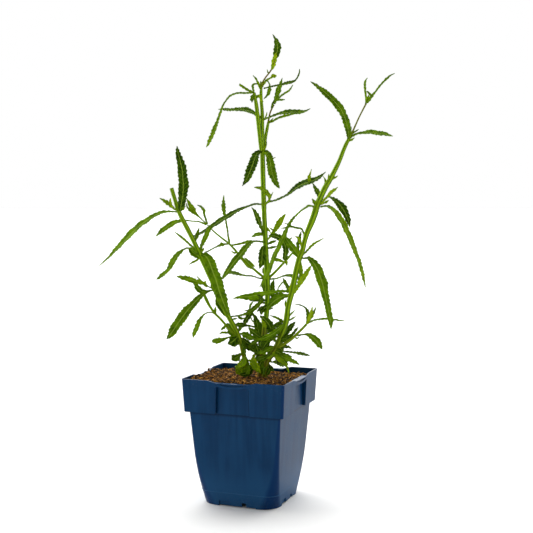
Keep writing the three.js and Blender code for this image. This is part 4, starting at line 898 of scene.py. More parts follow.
def leaf_mesh(name, turn, rows, tone, columns=COLUMNS, row_pitch=ROW_PITCH, deeper=BLADE_DEEPER):
    run, length, count = walk(rows, row_pitch, 8)
    places, tilt = run[:, :3], math.radians(turn)
    along, facing, sideways = directions(places)
    up_side = 1.0 if sideways[count // 2, 2] > 0 else -1.0
    face = facing * math.cos(tilt) + sideways * up_side * math.sin(tilt)
    side = np.cross(along, face)
    half = np.maximum(run[:, 3], NARROWEST) / math.cos(tilt)
    chance = random.Random(name)
    steps = np.linspace(0, length, count + 1)
    left_teeth, right_teeth = [margin_teeth(chance, length, steps, deeper) for _ in range(2)]
    bends = [chance.uniform(0, 6.28) for _ in range(4)]
    veins = max(length / VEIN_PITCH, 3)

    def place(s, t):
        row = np.rint(t * count).astype(int)
        x = 2 * s - 1
        wide, right = half[row], x > 0
        cut = np.where(right, right_teeth[row], left_teeth[row])
        cut = np.minimum(cut, 0.45 * wide) * np.minimum(wide / 0.0016, 1)
        cut = np.where(np.abs(x) > MARGIN_FROM, cut, INNER_SHARE * cut * np.abs(x))
        swell = 1 + SWELL * np.sin(t * length * SWELLS_PER_METRE + np.where(right, bends[0], bends[1]))
        reach = x * wide * swell + np.sign(x) * cut
        lift = LEAF_FOLD * wide * np.abs(x) ** 1.25
        ripple = np.sin(t * length * LIFTS_PER_METRE + np.where(right, bends[2], bends[3]))
        lift += EDGE_LIFT * wide * ripple * x * x
        pillow = np.cos((t * veins - np.abs(x)) * TURN)
        lift += PILLOW * wide * pillow * np.abs(x) * (1 - np.abs(x)) * 4
        return places[row] + reach[:, None] * side[row] + lift[:, None] * face[row]

    piece = sheet(name, columns, count)
    shape(piece, place)
    mark(piece.data, "tone", tone)
    mark(piece.data, "teeth", veins)
    piece.data.materials.append(LEAF_UPPER)
    piece.data.materials.append(LEAF_UNDER)
    normal = np.array(piece.data.polygons[(count // 2) * columns + columns // 2].normal)
    if normal @ face[count // 2] < 0:
        piece.data.flip_normals()
    solid = piece.modifiers.new("thickness", "SOLIDIFY")
    solid.thickness, solid.offset, solid.material_offset = LEAF_THICKNESS, -1.0, 1
    finish_modifiers(piece)
    bpy.ops.object.shade_smooth()
    return piece


def build_leaf(name, turn, tone, rows):
    rows = [(*row[:3], row[3] * NARROWER.get(name, 1.0)) for row in rows]
    piece = leaf_mesh(name.replace("leaf_", "blade_"), turn, rows, tone)
    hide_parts(name)
    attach(piece, "root")
    return piece


blades = [build_leaf(name, *leaf) for name, leaf in LEAVES.items()]
print("large leaves:", len(blades), "pieces,", sum(map(triangles, blades)), "triangles")

# %% [markdown]
# ## Bracts, young leaves and the leaves of the crown
#
# At every node of the real plant sit small bracts and young side leaves, and around the foot of the stems
# is a dense tuft of short, deeply lobed leaves, the crown. They are made the same way with fewer faces,
# and joined into one piece for each part of the plant. The bracts are drawn a little wider and younger
# than they were first read, and the crown's leaves have deeper teeth and a stronger contrast.

# %% Small leaves: turn, how near the eye are base and tip, tone, then across, up and width
SPRIGS = {
    "bracts_top": [
        (0, -8, -7, 0, [(17.8, 438, 0.8), (17, 440, 1), (16.3, 442.5, 0.3)]),
        (0, -7, -4, 0.7, [(21, 442, 0.8), (22, 445, 3), (22.8, 448.5, 3.6), (23.8, 452, 4),
            (24.8, 456, 2.6), (25.4, 459.5, 0.4)]),
        (20, -10, -6, 0.1, [(9.8, 424, 1.2), (8, 426.5, 2), (7, 429, 1.8), (5, 433, 1.5), (2, 436.5, 0.4)]),
        (30, -10, -14, 0.7, [(11.3, 425, 1.2), (14, 429.5, 1.6), (17, 432.3, 1.6), (20, 434, 1.4),
            (22.7, 435.8, 3.2), (26, 436, 1)]),
        (20, -9, -5, -0.2, [(13.5, 432, 0.8), (16.5, 430.8, 0.9), (18.7, 427.5, 1.1), (18.8, 424, 1.8),
            (18.5, 421, 3), (17.3, 417.5, 2.2), (15, 414.8, 1.4), (12.8, 412.5, 0.4)]),
        (10, -10, -9, 0.3, [(9.8, 423, 1.4), (8.6, 425.5, 2), (8, 429, 0.4)]),
        (10, -10, -11, 0.3, [(10.3, 424, 1.4), (10, 427.5, 2), (10, 431, 0.4)]),
        (30, -10, -2, -0.1, [(9.8, 426.5, 1), (7, 427.9, 1), (4, 427.9, 1.2), (1.8, 427, 1.6),
            (1.8, 424, 1.8), (2.8, 420, 1.2)]),
        (30, 0, 5, 0.1, [(3.4, 418.5, 1.4), (-2, 421, 1.8), (-7, 424, 1.9), (-12, 427.5, 1.6)]),
        (10, 0, 3, -0.7, [(3.4, 418, 1.4), (1.8, 415, 3), (1, 412, 3), (0.8, 409, 0.4)]),
        (20, -1, -4, 0.5, [(4.4, 410.5, 1.2), (5.6, 414.5, 2), (8, 416, 2.2), (9.8, 413.5, 2),
            (11, 411, 1.5), (12.6, 410, 0.4)]),
        (45, -19, -14, 0.2, [(17.5, 388, 1.2), (22, 390.2, 1.4), (27, 393, 1.8), (32, 394.7, 1.8),
            (38, 396.3, 1.6), (45, 397.7, 0.4)]),
        (0, -13, -14, 0.4, [(13, 391, 1), (15.5, 396, 1.1), (16.2, 399.5, 0.3)]),
        (0, -20, -20, 0.2, [(17.8, 388, 1.2), (20, 390.5, 1.2), (22.8, 393.5, 0.3)]),
        (40, -20, -26, 0.1, [(24.2, 410, 1.2), (28, 413.8, 1.4), (33, 417.5, 1.4), (39, 421.5, 1.4),
            (42.5, 427, 0.4)]),
        (40, -20, -17, 0, [(23, 409, 1.4), (26, 411.5, 2), (31, 411.8, 1.4), (34.5, 412, 0.4)]),
        (0, -19, -19, -0.7, [(20.8, 403, 1), (21.8, 407, 1.8), (23.5, 412, 0.4)]),
        (0, -9, -8, 0, [(13.5, 359, 1.4), (17, 354, 1.8), (20, 352, 1.4), (25, 353.3, 0.3)]),
        (0, -11, -15, 0.4, [(11, 360, 1.6), (9.5, 366, 2), (8.7, 371, 0.4)]),
        (0, -11, -15, 0.3, [(12.5, 360, 1.6), (14.6, 365, 2), (16, 369.5, 0.4)]),
    ],
    "bracts_middle": [
        (30, -9, -6, 0.3, [(14.3, 305, 1.2), (16.8, 307.5, 1.3), (18.7, 310.7, 2), (18.3, 314, 3),
            (16, 317.2, 3.3), (12.5, 320.5, 3.5), (8, 322.2, 2.4), (3, 322.8, 0.4)]),
        (0, -9, -10, 0.4, [(18.4, 310, 1), (19.6, 312.5, 1.5), (22.5, 318, 0.3)]),
        (40, -8, -3, 0, [(13, 274.3, 1.8), (9, 274.5, 3), (5, 274, 2.8), (2.5, 272.8, 1.8),
            (0, 271.4, 0.4)]),
        (40, -2, -6, 0.2, [(-21, 263, 1.2), (-16, 263.9, 1.3), (-10, 265.2, 1.8), (-4, 266.6, 2.2),
            (1, 268.5, 0.4)]),
        (0, -19, -18, 0.8, [(25, 278.7, 1), (21, 279.8, 1.1), (18.5, 281.8, 0.3)]),
        (0, -9, -9, 0.5, [(15.2, 281.5, 1.6), (17.5, 279.5, 2), (20.3, 275.5, 0.4)]),
        (20, -7, -4, -0.6, [(15.5, 264, 1), (18, 265, 1.8), (22, 266.7, 2.4), (26, 268, 0.5)]),
        (20, -7, -5, -0.6, [(15.7, 259.5, 1), (20, 260.7, 1.8), (23, 261.3, 2), (26, 262, 0.5)]),
        (20, -5, -8, 0.3, [(3.5, 241, 1), (0, 244, 2.4), (-4, 247.5, 2.2), (-7, 250.7, 0.4)]),
        (20, -4, 1, 0.3, [(2.5, 238.5, 0.8), (-3, 241.5, 2.4), (-7, 245.8, 2.4), (-11, 249.7, 0.4)]),
        (0, -1, -2, 0.2, [(-15, 255.5, 0.8), (-18, 255.5, 1.5), (-21, 257.7, 0.3)]),
        (35, -4, -7, 0.2, [(34.8, 246, 1), (29.5, 247.4, 2.2), (26, 248.2, 2.8), (22.3, 247, 0.5)]),
        (0, -2, -1, 0.4, [(35.2, 247.5, 1.4), (36.3, 245.5, 2.4), (36.7, 242, 0.4)]),
        (10, -7, -13, -0.6, [(18, 203.5, 1), (21, 207, 2.2), (22, 212, 3.5), (22, 217.5, 4),
            (21.8, 222.5, 3.6), (23.5, 227.5, 0.5)]),
        (0, -6, -4, -0.6, [(14.5, 230.5, 1.4), (12.4, 226, 2.4), (12.4, 220, 3), (13.4, 214.5, 0.5)]),
        (0, -32, -34, 0.7, [(60.5, 328.5, 1.6), (59.4, 331, 2.8), (59.6, 334, 2.6), (60.6, 337, 1.3),
            (61.9, 341.5, 0.3)]),
        (0, -4, 2, 0.1, [(15.5, 231, 2), (17.5, 235, 2.6), (19, 240, 0.4)]),
        (0, -12, -18, 0.2, [(15, 231, 2), (13, 236, 2.6), (12, 241, 0.4)]),
    ],
    "bracts_right": [
        (0, 16, 17, 0.3, [(71, 305, 1.2), (75, 306.5, 1.2), (77.5, 308, 2), (79.8, 309.6, 0.3)]),
        (10, 14, 8, -0.6, [(70.6, 311.5, 1.6), (69, 316, 3.8), (67.2, 319.5, 4), (65.5, 322.5, 2.4),
            (64, 325.5, 1.2), (62.6, 327.3, 0.3)]),
        (0, 15, 15, 0.2, [(76, 323, 1.6), (76.3, 328, 2), (75.5, 331.5, 1), (73.4, 334.2, 0.3)]),
        (0, 15, 17, 0.2, [(79.5, 328.5, 1.2), (79.3, 332, 1.6), (79.6, 336.5, 0.3)]),
        (0, 15, 13, 0.3, [(81.5, 330.5, 1.2), (84, 332, 2), (86.5, 333, 1.4), (89, 334.6, 0.3)]),
        (20, 11, 10, 0.1, [(102, 376, 1), (104, 378, 1.1), (107, 380, 1.2), (110, 382, 0.3)]),
        (0, 12, 14, 0.2, [(101, 374, 1), (101.6, 379, 1.2), (102.8, 384.7, 0.3)]),
        (0, 12, 13, 0.3, [(99.5, 370, 1.2), (103, 371.3, 1.6), (106, 373.5, 0.3)]),
        (10, 7, 11, 0, [(117.2, 407.5, 1.4), (117.4, 412, 1.6), (116.6, 420, 1.6), (116, 426, 1.9),
            (116.1, 429.5, 1.8), (117, 431.8, 1), (118.8, 433.9, 0.3)]),
        (0, 7, 6, -0.5, [(117.8, 420.5, 0.5), (119.5, 419.5, 1.5), (122.5, 416, 1.4), (123.5, 414.5, 0.4)]),
        (0, 7, 4, 0.3, [(117.6, 409, 1), (119.3, 414, 1.6), (120.5, 418, 0.4)]),
        (30, 14, 4, 0.3, [(51.5, 251.5, 1.2), (56, 256, 1.5), (60, 260.5, 1.7), (65, 265, 1.8),
            (70, 268, 1.3), (74.6, 270.6, 0.3)]),
        (0, 8, 8, 0, [(38.5, 268.5, 1), (40.5, 270, 1.2), (42.5, 271.3, 0.3)]),
        (40, 15, 5, -0.4, [(55.5, 270, 1.2), (53.7, 276.5, 1.5), (51.5, 280.2, 1.4), (48, 280.9, 1.4),
            (45, 281.5, 1.5), (41, 282.4, 1.4), (37, 282, 1), (33.5, 281, 0.9), (30.5, 280.8, 0.3)]),
        (40, 9, 6, -0.2, [(44, 281.8, 1), (41, 283, 1.3), (38, 284.7, 1.1), (34, 285.9, 0.3)]),
        (10, 14, 9, -0.6, [(50.3, 253, 1.2), (48.4, 258.5, 1.8), (48, 263, 2.7), (49, 268, 3),
            (50, 272, 2.6), (51.4, 277.8, 0.4)]),
        (10, 14.5, 17, 0.8, [(53.2, 258, 1.2), (51.7, 262.5, 1.8), (50.5, 267, 2.2), (48.3, 270.7, 2),
            (45.2, 272.7, 0.3)]),
        (0, 14, 17, 0.1, [(49.5, 249, 1.6), (51, 242, 2.6), (51.4, 237, 3.4), (51, 231, 3.4),
            (49.5, 225, 3), (48.6, 220, 0.5)]),
        (0, 11, 6, -0.5, [(41.5, 213, 1.6), (38.7, 218, 3.6), (36.5, 222, 3), (34.5, 225.9, 2.4),
            (32.3, 229.7, 0.4)]),
        (0, 7, 4, 0, [(35, 227, 1), (31, 223.5, 1.1), (28, 219.3, 1), (27, 216.5, 0.3)]),
        (0, 11, 13, 0.8, [(41, 212.5, 2), (41.2, 218, 3.6), (41, 225, 0.4)]),
        (15, 10, 2, -0.6, [(40.5, 211, 2), (36, 211, 3.4), (31, 209.5, 5.2), (26, 207, 6.5), (22, 203.8, 6),
            (18.5, 200, 4), (15.5, 197, 0.6)]),
        (0, 8, 10, 0, [(38, 197, 1), (35.2, 202, 1.7), (36, 207.2, 0.3)]),
        (0, 9, 9, 0.2, [(38.3, 189, 1.2), (42.5, 193.5, 1.2), (45.7, 196.2, 0.3)]),
        (0, 9, 9, 0.2, [(38, 185, 1.4), (42.5, 187.3, 1.4), (46.2, 189.8, 0.3)]),
        (0, 12, 9, 0.4, [(50, 250.5, 1.6), (47, 254, 2.4), (44.5, 255.5, 0.4)]),
        (0, 16, 20, 0.1, [(67, 303, 1.6), (64.5, 308, 2.6), (62.5, 311, 0.4)]),
    ],
    "bracts_left": [
        (20, 19, 28, 0.3, [(-75, 299, 1.4), (-78, 300, 1.5), (-82, 303.3, 2.4), (-86, 306.7, 3),
            (-90, 309.3, 2), (-94, 311.7, 0.4)]),
        (0, 22, 24, 0.9, [(-80.5, 302, 1.2), (-82.2, 304.5, 1.7), (-83.3, 308, 2), (-82.8, 311.6, 0.3)]),
        (20, -8, -6, 0.2, [(-53, 292, 1), (-57.5, 295.5, 1.8), (-61, 297.3, 1.8), (-65, 301.3, 1.6),
            (-67, 306.8, 0.4)]),
        (10, -6, -1, 0, [(-45.2, 284.5, 1.4), (-46.7, 290, 1.7), (-48.4, 295, 1.7), (-48.6, 299, 2.4),
            (-50, 301.3, 2), (-52.5, 303.4, 1.4), (-55.6, 304.6, 0.3)]),
        (0, 17, 12, -0.6, [(-58.8, 265.5, 1.4), (-57, 270, 2.4), (-56, 273.5, 3), (-54.8, 277, 2.2),
            (-53.3, 281.6, 0.3)]),
        (0, 16, 15, -0.3, [(-57, 272, 0.6), (-58.2, 272.8, 1.4), (-59.5, 273.6, 0.3)]),
        (35, 17, 9, 0.1, [(-57.5, 259.5, 1.2), (-60.5, 261.5, 1.6), (-65, 265.5, 1.7), (-70, 270, 1.6),
            (-75, 274, 1.4), (-79, 277.2, 0.3)]),
        (10, 16.5, 19, -0.6, [(-52.8, 251, 2.4), (-56, 252.6, 5), (-59.5, 255.5, 6), (-62.5, 258.5, 4),
            (-64.7, 260.5, 0.5)]),
        (0, 16, 21, 0, [(-52.6, 250.5, 1), (-58, 246.8, 1.9), (-61.5, 245, 1.3), (-64.2, 243.4, 0.3)]),
        (10, 10, 7, -0.7, [(-24, 188.5, 1.6), (-28, 193.5, 4), (-31, 198, 5), (-34, 203, 5),
            (-36.6, 209.3, 0.5)]),
        (0, 13, 12, -0.1, [(-36.5, 190.5, 1.4), (-37.5, 196, 2.1), (-36.6, 200, 0.3)]),
        (20, 14, 12, 0.3, [(-46.5, 221, 1), (-49.8, 224.3, 1.5), (-53, 227.5, 1.3), (-56.7, 231.9, 0.3)]),
        (0, 14, 15, 0.5, [(-45.5, 220, 1.4), (-48, 223.6, 2.7), (-47, 226.6, 0.3)]),
        (10, 13, 10, -0.6, [(-43, 215.5, 1.4), (-47, 215.5, 2.4), (-51, 215.4, 4), (-54.5, 218, 4.8),
            (-57.5, 222.3, 3), (-60.2, 223.8, 0.4)]),
        (0, 19, 16, 0.3, [(-74.5, 297.5, 1.6), (-70.5, 301, 2.4), (-67.5, 303.5, 0.4)]),
        (0, 18, 13, 0.1, [(-53.5, 253.5, 1.6), (-50.5, 258, 2.2), (-48.5, 260.5, 0.4)]),
        (0, 13, 10, 0, [(-47.8, 210, 1.6), (-50, 213.5, 2.4), (-49.5, 217.5, 0.4)]),
        (0, 13, 17, 0.1, [(-39, 217.5, 1), (-41, 221, 1.8), (-40.5, 225, 0.3)]),
    ],
    "crown_left": [
        (20, -4, 1, -0.5, [(14.5, 203, 1.4), (10, 204.8, 1.8), (5, 206.3, 2.6), (0, 207.3, 3.6),
            (-4, 208.3, 2.4), (-8.2, 209.6, 0.4)]),
        (10, 8, 3, 0.1, [(-15, 167.5, 2), (-18.5, 170.5, 5), (-21, 175, 7), (-23.5, 179.5, 5),
            (-25.3, 183, 0.5)]),
        (0, 11, 15, 0.1, [(-24.5, 181.5, 1.2), (-28.5, 177.9, 3), (-32, 174.7, 0.4)]),
        (10, 9, 15, 0.2, [(-15, 172.5, 1.2), (-24, 172.2, 1.7), (-28, 172.8, 1.9), (-31, 172.5, 1.8),
            (-33.2, 171.2, 0.3)]),
        (0, 8, 16, -0.7, [(-13, 169, 2), (-15.5, 167, 6), (-18, 164.5, 9.5), (-21, 162.3, 8),
            (-24.4, 161, 0.8)]),
        (10, 8, 3, -0.8, [(-13, 165.5, 2), (-15.5, 162, 6), (-18, 159.9, 4), (-20.8, 158.7, 0.5)]),
        (10, 6, 16, -0.3, [(-9.5, 150.5, 1.5), (-12, 149.3, 3.5), (-15, 147, 6.5), (-18, 145.8, 6.5),
            (-20.3, 147.3, 0.8)]),
        (0, 6, 2, 0, [(-2, 195, 1.2), (-0.7, 201.5, 2.2), (3.2, 206.6, 0.4)]),
        (0, 3, 8, -0.7, [(2, 195.5, 1.4), (-1.6, 191, 4), (-5.4, 185.8, 5.6), (-7.6, 179.5, 0.8)]),
        (20, -2, 8, -0.2, [(11, 176, 1.2), (0, 179.3, 1.7), (-5, 180.1, 2.2), (-9.5, 179.2, 2.6),
            (-12, 176.3, 3), (-13.3, 172.8, 0.5)]),
        (20, 9, 3, -0.8, [(-18.3, 180.5, 2), (-13, 180.7, 4.2), (-9, 180.6, 4), (-2.6, 180.2, 0.4)]),
        (15, 4, 12, -0.3, [(10, 167.5, 2), (7, 169.5, 5), (4, 171.8, 6.5), (1, 174, 5.5), (-1.3, 176.2, 3),
            (-2.9, 178.2, 0.4)]),
        (20, -2, 5, 0, [(9, 165.5, 1.6), (5, 166.3, 3.4), (1, 167, 5), (-3, 168.7, 6.6), (-7, 170.4, 5.5),
            (-10, 171.2, 3), (-12.5, 171.3, 0.4)]),
        (0, 9, 11, 0, [(-21, 185.5, 1), (-17, 187, 1.8), (-14.2, 187.2, 0.3)]),
        (0, 7, 9, -0.3, [(-14.2, 190, 0.8), (-11, 187.4, 3), (-7, 187.7, 0.5)]),
        (0, 2, 6, -0.1, [(3, 196.8, 1), (0, 196.3, 2), (-4, 195.7, 1.7), (-7.4, 196, 0.3)]),
        (0, -2, 3, -0.3, [(-0.6, 190, 0.7), (0.4, 186, 1.2), (2.5, 183.6, 1.2), (5, 182.5, 0.5)]),
        (20, 8, 2, -0.8, [(-12.5, 167, 1.5), (-9, 164.7, 4.5), (-6, 161.7, 5.4), (-2.5, 158.6, 3.4),
            (0.3, 156.8, 0.5)]),
        (0, 7, 12, -0.5, [(-10.5, 163.5, 1), (-9, 159.5, 3), (-7.5, 156.3, 2.6), (-6.8, 153.5, 0.5)]),
        (0, 1, 6, -0.4, [(-4.2, 165.4, 1.4), (-1.5, 161.9, 1.6), (0.7, 159.8, 0.4)]),
        (30, 5, -6, -0.7, [(-4.2, 158, 1.5), (0, 156.6, 4), (3, 154.9, 4.6), (6, 152.2, 4.4),
            (8.5, 147.5, 1)]),
        (10, 2, 10, -0.2, [(10, 165, 1.5), (5, 163.6, 3.4), (1.5, 161.7, 3), (-0.7, 160.1, 0.4)]),
        (20, 1, 11, -0.2, [(14, 161, 1.6), (10, 158.6, 3.4), (6, 154.6, 3.4), (2.5, 152.9, 2.2),
            (0.2, 153.2, 0.4)]),
        (0, 8, 13, -0.1, [(-5.5, 147, 1.2), (-4, 142.5, 2.4), (-3, 137, 3.6), (-4.5, 131.5, 5),
            (-6.8, 126.8, 1)]),
        (20, 10, 15, 0.5, [(-2.5, 144.5, 1), (0.5, 141, 4.4), (3, 137, 5), (6, 133.5, 3.4),
            (9.8, 130.3, 0.5)]),
        (10, 9, 17, -0.7, [(-1, 134, 1.4), (-4, 130.2, 4), (-8, 128.6, 4.4), (-12, 129.4, 0.6)]),
        (20, 8, 16, 0.7, [(-6, 138, 1.8), (-10, 135.6, 5), (-14, 135.8, 4), (-17, 137.4, 0.8)]),
        (20, 8, 15, 0.6, [(-8, 131, 1.6), (-12, 130.6, 4.6), (-15, 132.4, 3.4), (-16.4, 134.4, 0.5)]),
        (20, 8, 14, -0.4, [(-12, 143.6, 1), (-15.5, 145.4, 4.4), (-18, 146.6, 5), (-20.5, 149, 0.8)]),
        (20, 9, 14, 0.3, [(-6.2, 137, 1.8), (-7.5, 133, 4.6), (-7, 129, 4), (-6, 126.6, 0.8)]),
        (0, 5, 10, -0.7, [(2.5, 139, 1.6), (0, 134.5, 4.6), (-2, 130.5, 4.4), (-3, 127.3, 0.8)]),
    ],
    "crown_middle": [
        (10, -3, -1, -1, [(18, 200.5, 2), (14.5, 198.7, 5), (11.5, 196.3, 6.4), (10, 191.2, 0.8)]),
        (10, -3, 0, -1, [(14, 199.7, 1), (10, 197.6, 4.4), (5.8, 194.6, 0.6)]),
        (0, -4, -3, -0.8, [(15.8, 197, 1), (19.5, 197.7, 2.2), (23, 198.2, 0.4)]),
        (5, -4, -10, -0.4, [(12.8, 163.5, 2), (8.4, 167.5, 4.4), (7.5, 174, 7), (6, 182, 6.5), (4, 188, 4),
            (1.2, 193.6, 0.5)]),
        (10, -3, 4, -0.6, [(16.5, 205.5, 1), (12, 207, 2.5), (9.5, 209.5, 3), (6.6, 211.3, 0.5)]),
        (10, -3, 2, -0.3, [(15.3, 202.5, 1), (11.5, 204.5, 2.5), (8, 206.9, 2.6), (4, 208.6, 0.5)]),
        (20, -6, -12, -0.3, [(18.5, 205.5, 1.5), (23, 209.5, 3), (27, 212, 3.5), (31, 213.6, 2),
            (33.3, 213.3, 0.4)]),
        (0, 3, 8, 0.8, [(15.7, 177.8, 1.2), (13.8, 180.5, 3.2), (12, 183.5, 2.8), (10.3, 186.3, 0.4)]),
        (10, -6, -14, -0.7, [(13, 165.5, 2), (11.2, 172.5, 5), (10, 178, 5), (9.4, 183.8, 0.8)]),
        (30, 9, 4, -0.5, [(34.5, 181.7, 1.5), (30, 180.9, 3.2), (26, 179.7, 3.4), (22.5, 177.1, 3),
            (19, 173.3, 0.6)]),
        (10, 8, 4, -0.1, [(35.8, 183.3, 1.2), (33, 184.3, 2.3), (29, 186.6, 2.7), (24, 189, 1.9),
            (18.8, 190.7, 0.3)]),
        (10, 8, 12, -0.3, [(35, 184.3, 1.2), (30, 183.6, 2.2), (26, 182, 2.1), (21.8, 179.6, 0.3)]),
        (20, 4, 14, -0.7, [(24, 174, 2), (20.5, 169, 5), (17, 164, 6), (14, 159.5, 5), (11.3, 154.5, 0.8)]),
        (20, 5, 15, -0.2, [(28, 169, 1.5), (23.5, 167.9, 3.8), (19.5, 166, 4.4), (15.4, 162.4, 0.6)]),
        (10, 1, 12, -0.6, [(13.5, 170, 2), (11, 166, 4.8), (9.7, 161.5, 5), (9.4, 157.2, 0.8)]),
        (20, 5, 18, 0.1, [(25.5, 158, 2), (20.5, 156.8, 4), (16, 154.5, 5), (12, 152.2, 4.4),
            (6.2, 151, 0.6)]),
        (20, 5, 19, -0.2, [(23, 154, 1.5), (19, 150.3, 4), (15.5, 147.4, 5), (11.5, 145.6, 5),
            (7.5, 145, 3.6), (4.4, 146.2, 0.6)]),
        (30, 5, 16, 0.5, [(24.5, 156, 1.4), (22.8, 151, 2.2), (20, 147.3, 2.2), (15.8, 145.6, 0.8)]),
        (0, 2, 17, 0.8, [(6, 151.5, 1.6), (2.5, 148.3, 2.6), (2.2, 144.3, 4.4), (4.6, 139.2, 5),
            (7, 135, 3.8), (9.4, 130.3, 0.5)]),
        (10, 1, 11, -0.4, [(13.5, 149, 2), (11.3, 144, 5.4), (9, 140, 6.4), (8, 136.5, 4),
            (8.8, 133.4, 0.6)]),
        (10, 4, 14, -0.2, [(17, 147, 2), (15.5, 142, 6), (13.5, 137, 7), (12.5, 132.5, 5),
            (13.5, 128.5, 0.8)]),
        (10, 4, 13, -0.6, [(10, 144, 2), (8.5, 138.5, 6), (9, 133.5, 6), (11, 129.5, 0.8)]),
        (10, 5, 12, -0.5, [(16, 139, 1.5), (18.5, 135, 4.4), (17.5, 131, 4), (15.5, 128, 0.7)]),
        (10, 2, 8, -0.6, [(4, 158, 1.6), (-0.5, 159.4, 4), (-5, 162.6, 4.6), (-9, 166.5, 0.8)]),
        (10, 2, 9, -0.3, [(9, 150, 1.6), (4.5, 152.4, 4), (0.5, 156, 3.6), (-3.5, 158.8, 0.7)]),
        (10, 6, 2, -0.8, [(-11, 160.5, 2), (-7, 158.5, 4.6), (-3, 156.3, 4.6), (1, 153.6, 0.8)]),
        (10, 5, 12, -0.4, [(-9, 162, 2), (-7.5, 157, 4), (-7.3, 152.5, 3.4), (-5.5, 148, 0.6)]),
        (10, 3, 10, -0.5, [(3, 163, 2), (5, 158.5, 4.6), (6.6, 154.5, 4.6), (6.5, 150.5, 0.8)]),
        (10, 1, -9, -0.8, [(12, 158, 2), (17, 155.5, 5), (21, 151, 4.6), (23.5, 148, 0.8)]),
        (10, -3, -9, -0.8, [(10, 139, 2), (15, 141, 4.6), (19, 145, 4.6), (22, 148.5, 0.8)]),
        (10, -3, -12, -0.9, [(13, 150, 2), (8, 147, 5), (4, 143, 4.6), (1.5, 139.5, 0.8)]),
        (10, 0, 9, -0.5, [(17, 147.5, 1.5), (14.3, 143, 5), (12.5, 139.5, 5.4), (13.4, 135.8, 0.8)]),
        (20, 0, 8, -0.8, [(12, 139.5, 1.5), (16, 137.7, 4), (19, 136.2, 5), (21.5, 134.2, 3.4),
            (23.4, 132.3, 0.6)]),
        (20, 3, 12, 0.1, [(12, 146.3, 1), (17.5, 143.7, 1.3), (20, 142.3, 1.4), (23, 141.8, 1.4),
            (26.4, 143.4, 0.4)]),
        (10, 4, -10, -0.7, [(12.6, 153, 1.6), (15.5, 159, 5), (17.5, 165.5, 6.4), (21.5, 171.5, 4.5),
            (24, 175, 0.5)]),
        (10, -4, -26, -0.6, [(14.5, 170, 1.6), (17.5, 174.5, 4), (22.5, 178.8, 4), (27, 180.2, 2.6),
            (30, 180.5, 0.5)]),
        (20, 4, -12, -0.6, [(24.5, 153, 1.6), (20.5, 156, 4.4), (16.5, 157, 5), (12.5, 155.5, 4),
            (9, 153.7, 0.5)]),
        (0, 3, 9, -0.5, [(12.5, 163, 1.4), (12, 159.5, 4), (13, 156, 4.4), (15.5, 152.3, 0.6)]),
        (20, -1, -18, -0.5, [(12.5, 147, 1.4), (8.5, 149.3, 4), (6, 150.2, 3.6), (3.7, 148.6, 0.5)]),
    ],
    "crown_right": [
        (15, 7, -2, -0.7, [(31, 165.5, 1.4), (35, 170.3, 3), (38.5, 175.5, 5.6), (42, 180, 4.6),
            (45.8, 184.2, 0.5)]),
        (10, 13, 9, -0.5, [(40, 167, 1.4), (44, 172.5, 2.5), (46.5, 176, 2.3), (48.9, 178.6, 0.4)]),
        (0, 14, 15, 0.3, [(44.5, 168.3, 0.8), (47.5, 166.5, 1.6), (49.5, 168.3, 0.3)]),
        (10, 18, 24, 0.8, [(57.2, 181.5, 1.4), (60, 187.5, 3.3), (62, 193, 3), (63.1, 200, 0.4)]),
        (10, 18, 14, 0.2, [(57.5, 181.5, 1.2), (62.3, 189, 2.4), (64.7, 194, 2.4), (67, 199.5, 0.4)]),
        (45, 18, 6, 0, [(57.3, 181.7, 1.2), (61, 183.6, 1.4), (65, 185.5, 1.5), (70, 186.5, 1.7),
            (75, 187, 1.9), (80, 187, 1.7), (85, 186.2, 1.5), (88, 186, 1.6), (92, 185.2, 1.1),
            (96.7, 185.6, 0.3)]),
        (30, 6, 1, -0.6, [(26, 155.5, 1.4), (31, 157.3, 2.4), (35, 158, 3.2), (39, 157.6, 2.3),
            (41.9, 156, 0.3)]),
        (40, 5, -3, -0.6, [(24, 150.5, 1.2), (31, 153, 1), (38, 152.6, 1.5), (45, 151.7, 2.2),
            (52, 150.6, 3), (58, 149.2, 2), (61, 148.5, 0.3)]),
        (10, 9, 21, 0.5, [(22, 152, 2), (25, 148.7, 3), (28.5, 145.2, 4.4), (32.5, 142, 4),
            (36, 138.5, 2.6), (38, 134, 1.6), (39.1, 130.3, 0.4)]),
        (20, 7, 15, 0.2, [(26, 152, 1.5), (32, 149.7, 3.6), (37, 148.3, 4), (42.3, 147.2, 0.5)]),
        (20, 6, -8, -0.6, [(23, 150, 2), (26.5, 146.5, 4.5), (29, 143.5, 6), (31.5, 140.5, 5),
            (33.2, 137.8, 0.8)]),
        (20, 6, 2, -0.4, [(26, 147.5, 1.5), (31, 144.2, 4.6), (35, 141.8, 5), (38.3, 139.2, 0.8)]),
        (30, 3, -8, -0.3, [(22.5, 142.4, 1.5), (28, 140.6, 4), (32, 139.2, 4), (35.8, 138.4, 0.8)]),
        (20, 6, 14, -0.3, [(23.5, 159, 2), (28, 157.4, 5), (31, 155.2, 4.8), (33.6, 152.6, 0.6)]),
        (20, 5, 17, -0.2, [(22.5, 154.5, 3), (27, 152.4, 6), (30.5, 150.7, 4), (33, 149.2, 0.6)]),
        (10, 6, 0, -0.3, [(27.5, 159.5, 1.6), (32, 164, 5), (36, 167.3, 6), (40, 169, 4.6),
            (43.8, 170.6, 0.6)]),
        (20, 7, 15, -0.5, [(28.5, 163, 1.4), (31.5, 165.6, 3.6), (35, 166.3, 3.4), (38, 165.4, 0.5)]),
        (10, 8, 1, -0.4, [(32, 167, 2), (35, 171.5, 5), (37.3, 175.5, 5), (38.7, 179.7, 0.6)]),
        (10, 7, 14, -0.4, [(29.5, 169, 1.6), (27.5, 173, 3.6), (24.5, 175.5, 3.4), (22, 176.8, 0.5)]),
